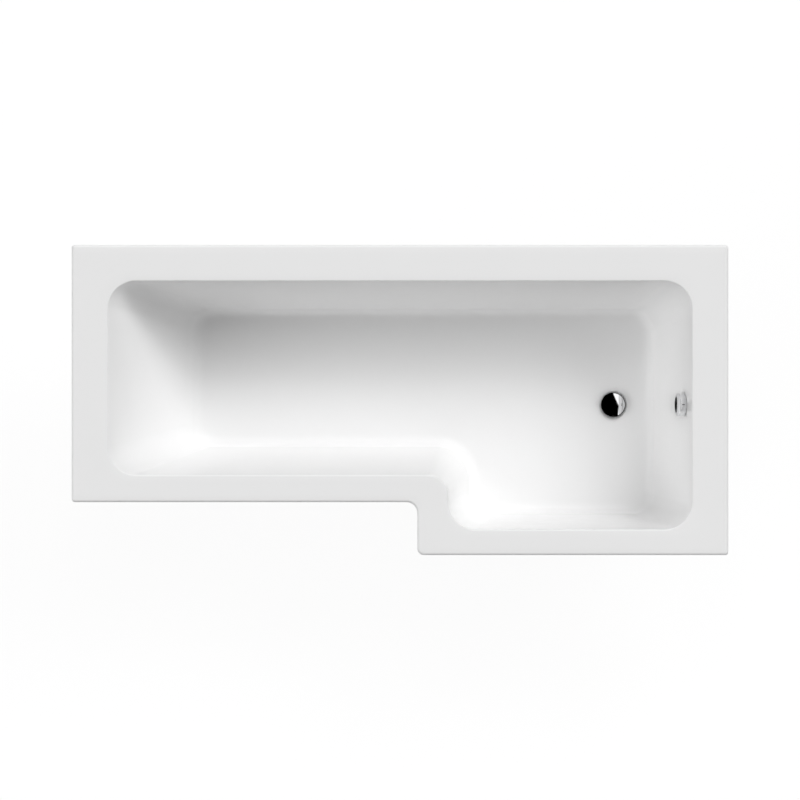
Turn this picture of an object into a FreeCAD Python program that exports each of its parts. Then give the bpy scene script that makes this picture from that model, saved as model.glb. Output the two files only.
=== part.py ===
import FreeCAD, Part
import math
import os
import Sketcher
from FreeCAD import Placement, Rotation, Vector

# An L-shaped acrylic shower bath on five adjustable feet, with a click plug waste and an overflow.
# X runs along the bath to the waste end, Y to the wall behind the bath and Z up from the floor.
# The origin lies on the floor under the middle of the rim. Lengths are millimetres.

SIZES = {
    # Plan of the rim: the shower end is the wide one
    "bath_length": 1800,
    "bath_width": 850,
    "step_depth": 145,
    "shower_length": 852.5,
    "outline_corner": 8,
    "step_hollow": 31,
    "step_nose": 18,
    # Width of the rim on each side of the well
    "rim_head": 98,
    "rim_foot": 98,
    "rim_back": 96,
    "rim_front": 70,
    "rim_shower": 66,
    "rim_step": 85,
    # Heights, and how far each wall leans in on its way down to the floor of the well
    "rim_height": 560,
    "well_depth": 390,
    "lip_depth": 35,
    "run_head": 238,
    "run_foot": 116,
    "run_back": 83,
    "run_front": 83,
    "run_shower": 47,
    "run_step": 60,
    # Corners of the well in plan, at the rim and at the floor, and its rounded edges
    "well_corner": 78,
    "floor_corner": 60,
    "well_nose": 55,
    "floor_nose": 90,
    "floor_round": 50,
    "well_edge": 3,
    "rim_edge": 7,
    # Sheets of the moulding
    "acrylic": 5,
    "bond": 0.3,
    "laminate": 3,
    # Baseboard and rim battens
    "board_thick": 15,
    "board_inset": 45,
    "board_head_inset": 90,
    "board_step_inset": 62,
    "board_waste_gap": 115,
    "batten_wide": 44,
    "batten_thick": 18,
    "batten_lip_gap": 4,
    "batten_end_gap": 150,
    "batten_step_gap": 45,
    # Leg frames, legs and feet
    "frame_wide": 40,
    "frame_high": 22,
    "frame_sheet": 2,
    "frame_bend": 3,
    "frame_inset": 80,
    "frame_end": 24,
    "leg_outset": 40,
    "bracket_span": 60,
    "bracket_foot": 26,
    "rod_radius": 5,
    "rod_chamfer": 1,
    "rod_spare": 30,
    "rod_board_gap": 20,
    "rod_hole_gap": 0.5,
    "thread_gap": 0.05,
    "nut_flats": 17,
    "nut_high": 8,
    "foot_radius": 24,
    "foot_rim": 4,
    "foot_flare": 10,
    "hub_radius": 10,
    "hub_high": 26,
    "foot_sole": 6,
    # Wood screws
    "screw_radius": 2.2,
    "screw_length": 12,
    "screw_tip": 3,
    "screw_point": 0.55,
    "screw_head_radius": 4.5,
    "screw_head_high": 2.5,
    "screw_gap": 0.1,
    "screw_board_inset": 40,
    # Wall brackets
    "wall_bracket_spacing": 900,
    "wall_bracket_wide": 40,
    "wall_bracket_sheet": 2,
    "wall_bracket_arm": 36,
    "wall_bracket_lip_gap": 2,
    "wall_bracket_jog": 4,
    "wall_bracket_leg": 62,
    "wall_screw_radius": 3.5,
    # Waste, measured from the floor of the well
    "waste_foot_gap": 315,
    "waste_back_gap": 438,
    "recess_depth": 4,
    "recess_radius": 36.5,
    "recess_slope": 3,
    "waste_hole_radius": 26,
    "foam_thick": 2,
    "flange_radius": 35,
    "flange_thick": 4,
    "flange_edge": 3,
    "flange_land": 1.7,
    "dish_radius": 32.5,
    "dish_depth": 2.5,
    "tail_radius": 23.9,
    "tail_bore": 20.5,
    "tail_length": 97,
    "relief_high": 1.5,
    "relief_depth": 0.5,
    "tail_slot_wide": 14,
    "tail_slot_high": 12,
    "spider_drop": 8,
    "spider_high": 6,
    "spider_arm": 4,
    "spider_boss": 9,
    "washer_thick": 5,
    "washer_radius": 36,
    "washer_gap": 0.4,
    "banjo_high": 30,
    "banjo_radius": 36,
    "banjo_groove": 31,
    "banjo_groove_gap": 1,
    "backnut_high": 12,
    "backnut_flats": 62,
    # Click plug
    "plug_travel": 8,
    "plug_gap": 0.3,
    "cap_radius": 33.6,
    "cap_brim": 2.2,
    "cap_dome": 5.2,
    "cap_edge": 2.5,
    "cap_lip": 1.5,
    "cap_lip_thick": 2,
    "cap_hub": 7,
    "cap_hub_drop": 5,
    "cap_socket": 2,
    "seal_inner": 24,
    "seal_outer": 29,
    "seal_thick": 3,
    "stem_radius": 3,
    "stem_head_radius": 5.1,
    "stem_head_high": 3,
    "sleeve_radius": 6.9,
    "sleeve_bore": 5.2,
    "sleeve_collar": 9,
    "sleeve_collar_high": 2,
    "sleeve_guide": 23,
    "sleeve_floor": 2,
    "spring_high": 14,
    "spring_radius": 4.2,
    "spring_wire": 0.45,
    "spring_turns": 5,
    # Overflow, measured from the inner face of the end wall
    "overflow_drop": 80,
    "overflow_hole_radius": 26,
    "overflow_cap_radius": 31,
    "overflow_cap_depth": 20,
    "overflow_cap_wall": 1.8,
    "overflow_cap_face": 2.5,
    "overflow_cap_dome": 1.5,
    "overflow_cap_round": 1.2,
    "overflow_cap_gap": 0.9,
    "overflow_notch_wide": 34,
    "overflow_notch_deep": 11,
    "insert_radius": 23.5,
    "insert_bore": 20,
    "insert_flange": 28.9,
    "insert_flange_thick": 2.5,
    "insert_grip": 13,
    "insert_bar": 7,
    "insert_post": 4.5,
    "post_socket": 6.2,
    "post_socket_high": 6,
    "front_seal_thick": 1.8,
    "gasket_thick": 4,
    "gasket_radius": 31,
    "elbow_flange": 32,
    "elbow_flange_thick": 4,
    "elbow_radius": 27,
    "elbow_depth": 36,
    "elbow_socket": 15,
    "elbow_back": 5,
    "elbow_round": 6,
    "elbow_reach": 36,
    # Hose between the elbow and the banjo ring
    "branch_radius": 12.5,
    "branch_reach": 50,
    "spigot_radius": 9.95,
    "spigot_bore": 7.5,
    "spigot_length": 18,
    "hose_radius": 13,
    "hose_root": 11.4,
    "hose_bore": 10,
    "hose_ribs": 32,
    # Shares of a rib's pitch at which its groove and its crest start and end
    "groove_start": 0.15,
    "groove_end": 0.4,
    "crest_start": 0.6,
    "crest_end": 0.95,
    # Union nuts that clamp the hose on its spigots
    "union_radius": 17,
    "union_length": 15,
    "union_gap": 0.1,
}

doc = FreeCAD.newDocument("ShowerBath")
sheet = doc.addObject("Spreadsheet::Sheet", "sizes")
for row, (alias, value) in enumerate(SIZES.items(), 1):
    sheet.set(f"A{row}", str(value))
    sheet.setAlias(f"A{row}", alias)
doc.recompute()

sub_parts = []


class Size:
    """A dimension that carries both its number and the sheet expression that drives it."""

    def __init__(self, number, text):
        self.number = number
        self.text = text

    def __add__(self, other):
        return Size(self.number + number_of(other), f"({self.text} + {text_of(other)})")

    def __radd__(self, other):
        return Size(other + self.number, f"({other} + {self.text})")

    def __sub__(self, other):
        return Size(self.number - number_of(other), f"({self.text} - {text_of(other)})")

    def __rsub__(self, other):
        return Size(other - self.number, f"({other} - {self.text})")

    def __mul__(self, other):
        return Size(self.number * number_of(other), f"({self.text} * {text_of(other)})")

    def __truediv__(self, other):
        return Size(self.number / number_of(other), f"({self.text} / {text_of(other)})")

    def __neg__(self):
        return Size(-self.number, f"(-1 * {self.text})")


def number_of(value):
    return value.number if isinstance(value, Size) else value


def text_of(value):
    return value.text if isinstance(value, Size) else str(value)


def size(alias):
    return Size(float(sheet.get(alias)), f"sizes.{alias}")


FLUSH = Size(0, "0")


def point(*values):
    coordinates = [number_of(value) for value in values]
    return Vector(*coordinates)


def place(item, x=0, y=0, z=0):
    """Put an object at a point whose coordinates follow the sheet."""
    for axis, value in zip("xyz", (x, y, z)):
        item.setExpression(f"Placement.Base.{axis}", text_of(value))


# Sketches and features inside a body


def new_body(label):
    body = doc.addObject("PartDesign::Body", label)
    body.Label = label
    sub_parts.append(body)
    return body


def new_sketch(body, name, role, level=None):
    """A sketch on one of the body's origin planes, or parallel to it at a level."""
    sketch = body.newObject("Sketcher::SketchObject", f"{body.Name}_{name}")
    plane = next(item for item in body.Origin.OriginFeatures if item.Role == role)
    sketch.AttachmentSupport = [(plane, "")]
    sketch.MapMode = "FlatFace"
    if level is not None:
        sketch.setExpression("AttachmentOffset.Base.z", text_of(level))
    return sketch


def constrain(sketch, kind, *arguments):
    """Add a constraint, bound to the sheet when its last argument is a size."""
    index = sketch.addConstraint(Sketcher.Constraint(kind, *[number_of(item) for item in arguments]))
    if isinstance(arguments[-1], Size):
        sketch.setExpression(f"Constraints[{index}]", arguments[-1].text)


def pin(sketch, curve, end, x, y):
    """Hold one point of a curve at a place; a plain 0 keeps it on that axis."""
    for kind, value, axis in (("DistanceX", x, -2), ("DistanceY", y, -1)):
        if isinstance(value, Size):
            constrain(sketch, kind, -1, 1, curve, end, value)
        else:
            constrain(sketch, "PointOnObject", curve, end, axis)


def add_polygon(sketch, points, dome=None):
    """A closed outline; the side that starts at index dome is an arc centred on the vertical axis."""
    first = sketch.GeometryCount
    count = len(points)
    ends = []
    for index in range(count):
        start = point(*points[index], 0)
        finish = point(*points[(index + 1) % count], 0)
        curve = first + index
        if index == dome:
            rise = start.y - finish.y
            radius = (finish.x ** 2 + rise ** 2) / (2 * rise)
            circle = Part.Circle(Vector(0, start.y - radius, 0), Vector(0, 0, 1), radius)
            angle = math.acos(finish.x / radius)
            sketch.addGeometry(Part.ArcOfCircle(circle, angle, math.pi / 2))
            ends.append((curve, 2, 1))
        else:
            sketch.addGeometry(Part.LineSegment(start, finish))
            ends.append((curve, 1, 2))
    for index in range(count):
        curve, _, finish = ends[index]
        following, start, _ = ends[(index + 1) % count]
        constrain(sketch, "Coincident", curve, finish, following, start)
    for (curve, start, _), (x, y) in zip(ends, points):
        pin(sketch, curve, start, x, y)
    if dome is not None:
        constrain(sketch, "PointOnObject", first + dome, 3, -2)


def add_rectangle(sketch, x, y, wide, high):
    """An upright rectangle about a centre."""
    left, right = x - wide / 2, x + wide / 2
    low, top = y - high / 2, y + high / 2
    add_polygon(sketch, [(left, low), (right, low), (right, top), (left, top)])


def add_circle(sketch, x, y, radius):
    curve = sketch.addGeometry(Part.Circle(point(x, y, 0), Vector(0, 0, 1), radius.number))
    pin(sketch, curve, 3, x, y)
    constrain(sketch, "Radius", curve, radius)


def add_hexagon(sketch, flats):
    """A regular hexagon about the origin, given across its flats."""
    reach = flats / math.sqrt(3)
    half = flats / 2
    add_polygon(sketch, [
        (reach, 0), (reach / 2, half), (-reach / 2, half),
        (-reach, 0), (-reach / 2, -half), (reach / 2, -half),
    ])


def pad(body, sketch, length, reverse=False):
    feature = body.newObject("PartDesign::Pad", f"{sketch.Name}_pad")
    feature.Profile = sketch
    feature.Reversed = reverse
    feature.setExpression("Length", text_of(length))


def pocket(body, sketch, length=None, reverse=False, both_ways=False):
    """Cut along the sketch's normal by a length, or right through."""
    doc.recompute()
    before = body.Shape.Volume
    feature = body.newObject("PartDesign::Pocket", f"{sketch.Name}_pocket")
    feature.Profile = sketch
    feature.Reversed = reverse
    feature.Midplane = both_ways
    if length is None:
        feature.Type = "ThroughAll"
    else:
        feature.setExpression("Length", text_of(length))
    doc.recompute()
    if body.Shape.Volume >= before:
        raise RuntimeError(f"{feature.Name} cut nothing")


def revolve(body, name, points, dome=None):
    """Turn an outline of radius and height about the body's vertical axis."""
    sketch = new_sketch(body, name, "XZ_Plane")
    add_polygon(sketch, points, dome)
    feature = body.newObject("PartDesign::Revolution", f"{sketch.Name}_turn")
    feature.Profile = sketch
    feature.ReferenceAxis = (sketch, ["V_Axis"])
    feature.Angle = 360


def cylinder_feature(body, name, kind, radius, height, base=(0, 0, 0), turn=None):
    """Add or cut a cylinder; turn is an axis and an angle that lays it over."""
    feature = body.newObject(f"PartDesign::{kind}Cylinder", f"{body.Name}_{name}")
    feature.setExpression("Radius", text_of(radius))
    feature.setExpression("Height", text_of(height))
    lay_over(feature, turn)
    place(feature, *base)


def lay_over(item, turn):
    if turn is None:
        return
    axis, angle = turn
    item.Placement = Placement(Vector(), Rotation(axis, number_of(angle)))
    if isinstance(angle, Size):
        item.setExpression("Placement.Rotation.Angle", angle.text)


def round_edges(body, name, radius, chosen):
    """Round the edges of the body so far that the test picks."""
    doc.recompute()
    tip = body.Tip
    names = [f"Edge{index}" for index, edge in enumerate(tip.Shape.Edges, 1) if chosen(edge)]
    feature = body.newObject("PartDesign::Fillet", f"{body.Name}_{name}")
    feature.Base = (tip, names)
    feature.setExpression("Radius", text_of(radius))
    doc.recompute()


CLOSE = 1e-4


def at_height(height):
    """Picks the edges that lie wholly at one height."""
    level = number_of(height)

    def chosen(edge):
        box = edge.BoundBox
        return abs(box.ZMin - level) < CLOSE and abs(box.ZMax - level) < CLOSE

    return chosen


Y_AXIS = Vector(0, 1, 0)
ALONG_X = (Y_AXIS, 90)
AGAINST_X = (Y_AXIS, -90)


# Solids made of primitives


def solid(kind, name, base, turn=None, **dimensions):
    """A primitive whose dimensions and place follow the sheet."""
    item = doc.addObject(f"Part::{kind}", name)
    for dimension, value in dimensions.items():
        item.setExpression(dimension, text_of(value))
    lay_over(item, turn)
    place(item, *base)
    return item


def block(name, low, high):
    """A box between two opposite corners."""
    sides = [top - bottom for bottom, top in zip(low, high)]
    return solid("Box", name, low, Length=sides[0], Width=sides[1], Height=sides[2])


def joined(name, pieces):
    item = doc.addObject("Part::MultiFuse", name)
    item.Shapes = pieces
    return item


def cut_away(name, base, tools):
    item = doc.addObject("Part::Cut", name)
    item.Base = base
    item.Tool = tools[0] if len(tools) == 1 else joined(f"{name}_tools", tools)
    return item


def group(label, pieces):
    """Like fasteners kept as one sub-part of separate solids."""
    item = doc.addObject("Part::Compound", label)
    item.Links = pieces
    keep(item, label)


def keep(item, label):
    item.Label = label
    sub_parts.append(item)


# Plan of the bath


class Plan:
    """An L-shaped outline: six sides, the four outer corners, the step's front corner and its hollow."""

    def __init__(self, left, right, back, front, shower, step, corner, nose, hollow):
        self.sides = (left, right, back, front, shower, step)
        self.radii = (corner, nose, hollow)

    def grown(self, growth):
        left, right, back, front, shower, step = self.sides
        corner, nose, hollow = self.radii
        return Plan(
            left - growth, right + growth, back + growth, front - growth, shower - growth, step - growth,
            corner + growth, nose + growth, hollow - growth,
        )

    def surrounds(self, edge):
        """Whether the middle of an edge lies within the outline, seen from above."""
        left, right, back, front, shower, step = [side.number for side in self.sides]
        hollow = self.radii[-1].number
        middle = edge.valueAt((edge.FirstParameter + edge.LastParameter) / 2)
        beside_step = middle.x < step - hollow and middle.y < front - hollow
        return left < middle.x < right and shower < middle.y < back and not beside_step

    def draw(self, sketch):
        """Six straight sides, joined by tangent arcs, going round from the back of the head end."""
        left, right, back, front, shower, step = self.sides
        corner, nose, hollow = self.radii
        corners = [
            (left, back), (left, front), (step, front), (step, shower), (right, shower), (right, back),
        ]
        radii = [corner, corner, hollow, nose, corner, corner]
        count = len(corners)
        sharp = [point(x, y, 0) for x, y in corners]
        ways = [(sharp[(i + 1) % count] - sharp[i]).normalize() for i in range(count)]
        starts = [sharp[i] - ways[i - 1] * radii[i].number for i in range(count)]
        finishes = [sharp[i] + ways[i] * radii[i].number for i in range(count)]
        for i in range(count):
            sketch.addGeometry(Part.LineSegment(finishes[i], starts[(i + 1) % count]))
        for i in range(count):
            centre = starts[i] + ways[i] * radii[i].number
            circle = Part.Circle(centre, Vector(0, 0, 1), radii[i].number)
            left_turn = ways[i - 1].cross(ways[i]).z > 0
            ends = (starts[i], finishes[i]) if left_turn else (finishes[i], starts[i])
            angles = [math.atan2(end.y - centre.y, end.x - centre.x) for end in ends]
            sketch.addGeometry(Part.ArcOfCircle(circle, *angles))
            arc = count + i
            arrival, departure = (1, 2) if left_turn else (2, 1)
            constrain(sketch, "Tangent", (i - 1) % count, 2, arc, arrival)
            constrain(sketch, "Tangent", arc, departure, i, 1)
            constrain(sketch, "Radius", arc, radii[i])
        for i in range(count):
            upright = i % 2 == 0
            constrain(sketch, "Vertical" if upright else "Horizontal", i)
            kind, value = ("DistanceX", corners[i][0]) if upright else ("DistanceY", corners[i][1])
            constrain(sketch, kind, -1, 1, i, 1, value)


half_length = size("bath_length") / 2
half_width = size("bath_width") / 2
step_side = half_length - size("shower_length")
narrow_side = size("step_depth") - half_width
rim_height = size("rim_height")
floor_height = rim_height - size("well_depth")
acrylic = size("acrylic")

rim_plan = Plan(
    -half_length, half_length, half_width, narrow_side, -half_width, step_side,
    size("outline_corner"), size("step_nose"), size("step_hollow"),
)
well_head = size("rim_head") - half_length
well_foot = half_length - size("rim_foot")
well_back = half_width - size("rim_back")
well_front = narrow_side + size("rim_front")
well_shower = size("rim_shower") - half_width
well_step = step_side + size("rim_step")
well_plan = Plan(
    well_head, well_foot, well_back, well_front, well_shower, well_step,
    size("well_corner"), size("well_corner"), size("well_nose"),
)
floor_head = well_head + size("run_head")
floor_foot = well_foot - size("run_foot")
floor_back = well_back - size("run_back")
floor_front = well_front + size("run_front")
floor_shower = well_shower + size("run_shower")
floor_step = well_step + size("run_step")
floor_plan = Plan(
    floor_head, floor_foot, floor_back, floor_front, floor_shower, floor_step,
    size("floor_corner"), size("floor_corner"), size("floor_nose"),
)

# The laminate lies on the back of the acrylic, and both follow the well by growing out and sinking alike
laminate_inside = acrylic + size("bond")
laminate_outside = laminate_inside + size("laminate")
laminate_under = floor_height - laminate_outside
rim_under = rim_height - laminate_outside

waste_x = half_length - size("waste_foot_gap")
waste_y = half_width - size("waste_back_gap")
recess_floor = floor_height - size("recess_depth")
boss_radius = size("recess_radius") + acrylic
boss_under = recess_floor - acrylic

# The overflow sits square on the sloping end wall; its axis points into the well
wall_slope = size("run_foot") / size("well_depth")
wall_lean = Size(math.degrees(math.atan(wall_slope.number)), f"atan({wall_slope.text})")
lean_sine = Size(math.sin(math.radians(wall_lean.number)), f"sin({wall_lean.text})")
lean_cosine = Size(math.cos(math.radians(wall_lean.number)), f"cos({wall_lean.text})")
overflow_turn = (Y_AXIS, Size(wall_lean.number - 90, f"{wall_lean.text} - 90 deg"))
overflow_x = well_foot - size("overflow_drop") * wall_slope
overflow_z = rim_height - size("overflow_drop")
wall_thick = laminate_outside * (lean_sine + lean_cosine)


def well_loft(body, name, kind, growth):
    """The well as a loft from its rim to its floor."""
    sections = []
    for level, plan, height in (("rim", well_plan, rim_height), ("floor", floor_plan, floor_height)):
        sketch = new_sketch(body, f"{name}_{level}", "XY_Plane", height - growth)
        plan.grown(growth).draw(sketch)
        sections.append(sketch)
    feature = body.newObject(f"PartDesign::{kind}Loft", f"{body.Name}_{name}")
    feature.Profile = sections[0]
    feature.Sections = sections[1:]
    feature.Ruled = True


def well_sheet(body, inside, outside):
    """A sheet of even wall between two growths of the well, its floor edges rounded about one centre."""
    well_loft(body, "outside", "Additive", outside)
    well_loft(body, "inside", "Subtractive", inside)
    for name, growth in (("inside_round", inside), ("outside_round", outside)):
        round_edges(body, name, size("floor_round") + growth, at_height(floor_height - growth))


def overflow_hole(body):
    """A hole through the end wall, square to it."""
    reach = wall_thick * 2
    base = (overflow_x + reach * lean_cosine, waste_y, overflow_z - reach * lean_sine)
    cylinder_feature(
        body, "overflow_hole", "Subtractive", size("overflow_hole_radius"), reach * 2, base, overflow_turn
    )


def bath_shell():
    """Vacuum-formed acrylic: rim with a turned-down lip, well, and a recess for the waste."""
    body = new_body("bath_shell")
    rim = new_sketch(body, "rim", "XY_Plane", rim_height)
    rim_plan.draw(rim)
    pad(body, rim, size("lip_depth"), reverse=True)
    hollow = new_sketch(body, "hollow", "XY_Plane", rim_height - size("lip_depth"))
    rim_plan.grown(-acrylic).draw(hollow)
    pocket(body, hollow, size("lip_depth") - acrylic, reverse=True)
    well_sheet(body, FLUSH, acrylic)
    cylinder_feature(
        body, "boss", "Additive", boss_radius, size("recess_depth") * 2, (waste_x, waste_y, boss_under)
    )
    recess = body.newObject("PartDesign::SubtractiveCone", "recess")
    recess.setExpression("Radius1", size("recess_radius").text)
    recess.setExpression("Radius2", (size("recess_radius") + size("recess_slope")).text)
    recess.setExpression("Height", size("recess_depth").text)
    place(recess, waste_x, waste_y, recess_floor)
    cylinder_feature(
        body, "waste_hole", "Subtractive", size("waste_hole_radius"), acrylic * 4,
        (waste_x, waste_y, recess_floor - acrylic * 2),
    )
    overflow_hole(body)
    top_edge = at_height(rim_height)
    mouth = well_plan.grown(acrylic)
    round_edges(
        body, "rim_edge", size("rim_edge"), lambda edge: top_edge(edge) and not mouth.surrounds(edge)
    )
    round_edges(body, "well_edge", size("well_edge"), lambda edge: top_edge(edge) and mouth.surrounds(edge))


def fibreglass_backing():
    """Sprayed glass laminate that stiffens the well and the underside of the rim."""
    body = new_body("fibreglass_backing")
    flange = new_sketch(body, "flange", "XY_Plane", rim_under)
    rim_plan.grown(-laminate_inside).draw(flange)
    pad(body, flange, size("laminate"))
    well_sheet(body, laminate_inside, laminate_outside)
    cylinder_feature(
        body, "waste_hole", "Subtractive", boss_radius + size("bond"), laminate_outside * 4,
        (waste_x, waste_y, floor_height - laminate_outside * 2),
    )
    overflow_hole(body)


# Baseboard, battens and what is screwed to them

board_head = floor_head + size("board_head_inset")
board_foot = waste_x - size("board_waste_gap")
board_back = floor_back - size("board_inset")
board_front = floor_front + size("board_inset")
board_shower = floor_shower + size("board_inset")
board_step = floor_step + size("board_step_inset")
board_under = laminate_under - size("board_thick")
batten_under = rim_under - size("batten_thick")
lip_inside = half_width - acrylic

sheet_steel = size("frame_sheet")
head_frame_x = board_head + size("frame_inset")
foot_frame_x = board_foot - size("frame_inset")
centre_x = (board_head + board_foot) / 2
centre_y = (board_back + board_front) / 2
leg_back = floor_back + size("leg_outset")
leg_front = floor_front - size("leg_outset")
leg_shower = floor_shower - size("leg_outset")
frame_back = leg_back + size("frame_end")
bracket_drop = (board_under - size("hub_high")) / 2
bracket_side = size("bracket_span") / 2
bracket_screw_x = bracket_side + size("bracket_foot") / 2
screw_hole = size("screw_radius") + size("screw_gap")
rod_hole = size("rod_radius") + size("rod_hole_gap")
back_screw = board_back - size("screw_board_inset")

frame_screw_places = [
    (head_frame_x, back_screw),
    (head_frame_x, board_front + size("screw_board_inset")),
    (foot_frame_x, back_screw),
    (foot_frame_x, board_shower + size("screw_board_inset")),
    (centre_x - bracket_screw_x, centre_y),
    (centre_x + bracket_screw_x, centre_y),
]
wall_bracket_places = {
    "wall_bracket_head": -size("wall_bracket_spacing") / 2,
    "wall_bracket_foot": size("wall_bracket_spacing") / 2,
}
batten_screw_y = lip_inside - size("batten_lip_gap") - size("batten_wide") / 2


def baseboard():
    """L-shaped chipboard under the flat of the floor, drilled for the frame screws."""
    body = new_body("baseboard")
    outline = new_sketch(body, "outline", "XY_Plane", board_under)
    add_polygon(outline, [
        (board_head, board_back), (board_head, board_front), (board_step, board_front),
        (board_step, board_shower), (board_foot, board_shower), (board_foot, board_back),
    ])
    pad(body, outline, size("board_thick"))
    holes = new_sketch(body, "holes", "XY_Plane", board_under)
    for x, y in frame_screw_places:
        add_circle(holes, x, y, screw_hole)
    pocket(body, holes, size("screw_length"), reverse=True)


def rim_battens():
    """Timber strips under the rim, along its long sides, close inside the lip."""
    inset = size("batten_lip_gap")
    wide = size("batten_wide")
    head = size("batten_end_gap") - half_length
    foot = half_length - size("batten_end_gap")
    runs = {
        "batten_back": (head, foot, lip_inside - inset - wide),
        "batten_front": (head, step_side - size("batten_step_gap"), narrow_side + acrylic + inset),
        "batten_shower": (step_side + size("batten_step_gap"), foot, inset - lip_inside),
    }
    for label, (start, finish, side) in runs.items():
        strip = block(f"{label}_strip", (start, side, batten_under), (finish, side + wide, rim_under))
        if label == "batten_back":
            drills = [
                solid("Cylinder", f"{name}_drill", (x, batten_screw_y, batten_under),
                      Radius=screw_hole, Height=size("screw_length"))
                for name, x in wall_bracket_places.items()
            ]
            strip = cut_away(label, strip, drills)
        keep(strip, label)


def channel_bends(body, levels):
    """Round the long bends of a folded sheet at the given heights, each by its own radius."""
    for name, height, radius in levels:
        level = at_height(height)
        round_edges(
            body, name, radius,
            lambda edge: level(edge) and edge.BoundBox.XLength < CLOSE,
        )


def leg_frame(label, x, front):
    """Pressed steel channel across the bath, open below, with a leg through each end."""
    body = new_body(label)
    half = size("frame_wide") / 2
    low = -size("frame_high")
    length = frame_back + size("frame_end") - front
    profile = new_sketch(body, "profile", "XZ_Plane")
    add_polygon(profile, [
        (-half, 0), (-half, low), (sheet_steel - half, low), (sheet_steel - half, -sheet_steel),
        (half - sheet_steel, -sheet_steel), (half - sheet_steel, low), (half, low), (half, 0),
    ])
    pad(body, profile, length)
    channel_bends(body, [
        ("outer_bend", 0, size("frame_bend")),
        ("inner_bend", -sheet_steel, size("frame_bend") - sheet_steel),
    ])
    holes = new_sketch(body, "holes", "XY_Plane")
    for y in (leg_back, front):
        add_circle(holes, 0, y - frame_back, rod_hole)
    for screw_x, screw_y in frame_screw_places:
        if screw_x.text == x.text:
            add_circle(holes, 0, screw_y - frame_back, screw_hole)
    pocket(body, holes)
    place(body, x, frame_back, board_under)


def centre_leg_bracket():
    """Hat-shaped steel strap under the middle of the board, for the fifth leg."""
    body = new_body("centre_leg_bracket")
    side = bracket_side
    tip = side + size("bracket_foot")
    low = -bracket_drop
    profile = new_sketch(body, "profile", "XZ_Plane")
    add_polygon(profile, [
        (-tip, 0), (-tip, -sheet_steel), (-side, -sheet_steel), (-side, low), (side, low),
        (side, -sheet_steel), (tip, -sheet_steel), (tip, 0), (side - sheet_steel, 0),
        (side - sheet_steel, low + sheet_steel), (sheet_steel - side, low + sheet_steel),
        (sheet_steel - side, 0),
    ])
    pad(body, profile, size("frame_wide"))
    channel_bends(body, [
        ("outer_bend", low, size("frame_bend")),
        ("inner_bend", low + sheet_steel, size("frame_bend") - sheet_steel),
    ])
    middle = -size("frame_wide") / 2
    holes = new_sketch(body, "holes", "XY_Plane")
    add_circle(holes, 0, middle, rod_hole)
    for x in (-bracket_screw_x, bracket_screw_x):
        add_circle(holes, x, middle, screw_hole)
    pocket(body, holes)
    place(body, centre_x, centre_y - middle, board_under)


def hexagon_nut(name, x, y, z):
    prism = solid(
        "Prism", f"{name}_hexagon", (x, y, z),
        Circumradius=size("nut_flats") / math.sqrt(3), Height=size("nut_high"),
    )
    thread = solid(
        "Cylinder", f"{name}_thread", (x, y, z),
        Radius=size("rod_radius") + size("thread_gap"), Height=size("nut_high"),
    )
    return cut_away(name, prism, [thread])


def legs():
    """Threaded rods with moulded feet, each held on its frame between two nuts."""
    strap = board_under - bracket_drop + sheet_steel
    rod_top = board_under + size("nut_high") + size("rod_spare")
    places = {
        "head_back": (head_frame_x, leg_back, board_under, rod_top),
        "head_front": (head_frame_x, leg_front, board_under, rod_top),
        "foot_back": (foot_frame_x, leg_back, board_under, rod_top),
        "foot_front": (foot_frame_x, leg_shower, board_under, rod_top),
        "centre": (centre_x, centre_y, strap, board_under - size("rod_board_gap")),
    }
    radius = size("rod_radius")
    chamfer = size("rod_chamfer")
    sole = size("foot_sole")
    hub_high = size("hub_high")
    bore = radius + size("thread_gap")
    nuts = []
    for name, (x, y, web, top) in places.items():
        rod = new_body(f"leg_rod_{name}")
        length = top - sole
        revolve(rod, "profile", [
            (0, 0), (radius - chamfer, 0), (radius, chamfer), (radius, length - chamfer),
            (radius - chamfer, length), (0, length),
        ])
        place(rod, x, y, sole)
        foot = new_body(f"foot_pad_{name}")
        revolve(foot, "profile", [
            (0, 0), (size("foot_radius"), 0), (size("foot_radius"), size("foot_rim")),
            (size("hub_radius"), size("foot_flare")), (size("hub_radius"), hub_high), (bore, hub_high),
            (bore, sole), (0, sole),
        ])
        place(foot, x, y)
        nuts.append(hexagon_nut(f"nut_above_{name}", x, y, web))
        nuts.append(hexagon_nut(f"nut_below_{name}", x, y, web - sheet_steel - size("nut_high")))
    group("leg_nuts", nuts)


def wood_screw(name, x, y, seat):
    """A pan-head screw driven upwards, its head below the seat."""
    radius = size("screw_radius")
    shank = size("screw_length") - size("screw_tip")
    head = solid(
        "Cylinder", f"{name}_head", (x, y, seat - size("screw_head_high")),
        Radius=size("screw_head_radius"), Height=size("screw_head_high"),
    )
    body = solid("Cylinder", f"{name}_shank", (x, y, seat), Radius=radius, Height=shank)
    tip = solid(
        "Cone", f"{name}_point", (x, y, seat + shank), Radius1=radius,
        Radius2=size("screw_point"), Height=size("screw_tip"),
    )
    return joined(name, [head, body, tip])


def screws():
    seat = board_under - sheet_steel
    group("frame_screws", [
        wood_screw(f"frame_screw_{index}", x, y, seat) for index, (x, y) in enumerate(frame_screw_places, 1)
    ])
    seat = batten_under - size("wall_bracket_sheet")
    group("wall_bracket_screws", [
        wood_screw(f"{label}_screw", x, batten_screw_y, seat) for label, x in wall_bracket_places.items()
    ])


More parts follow.
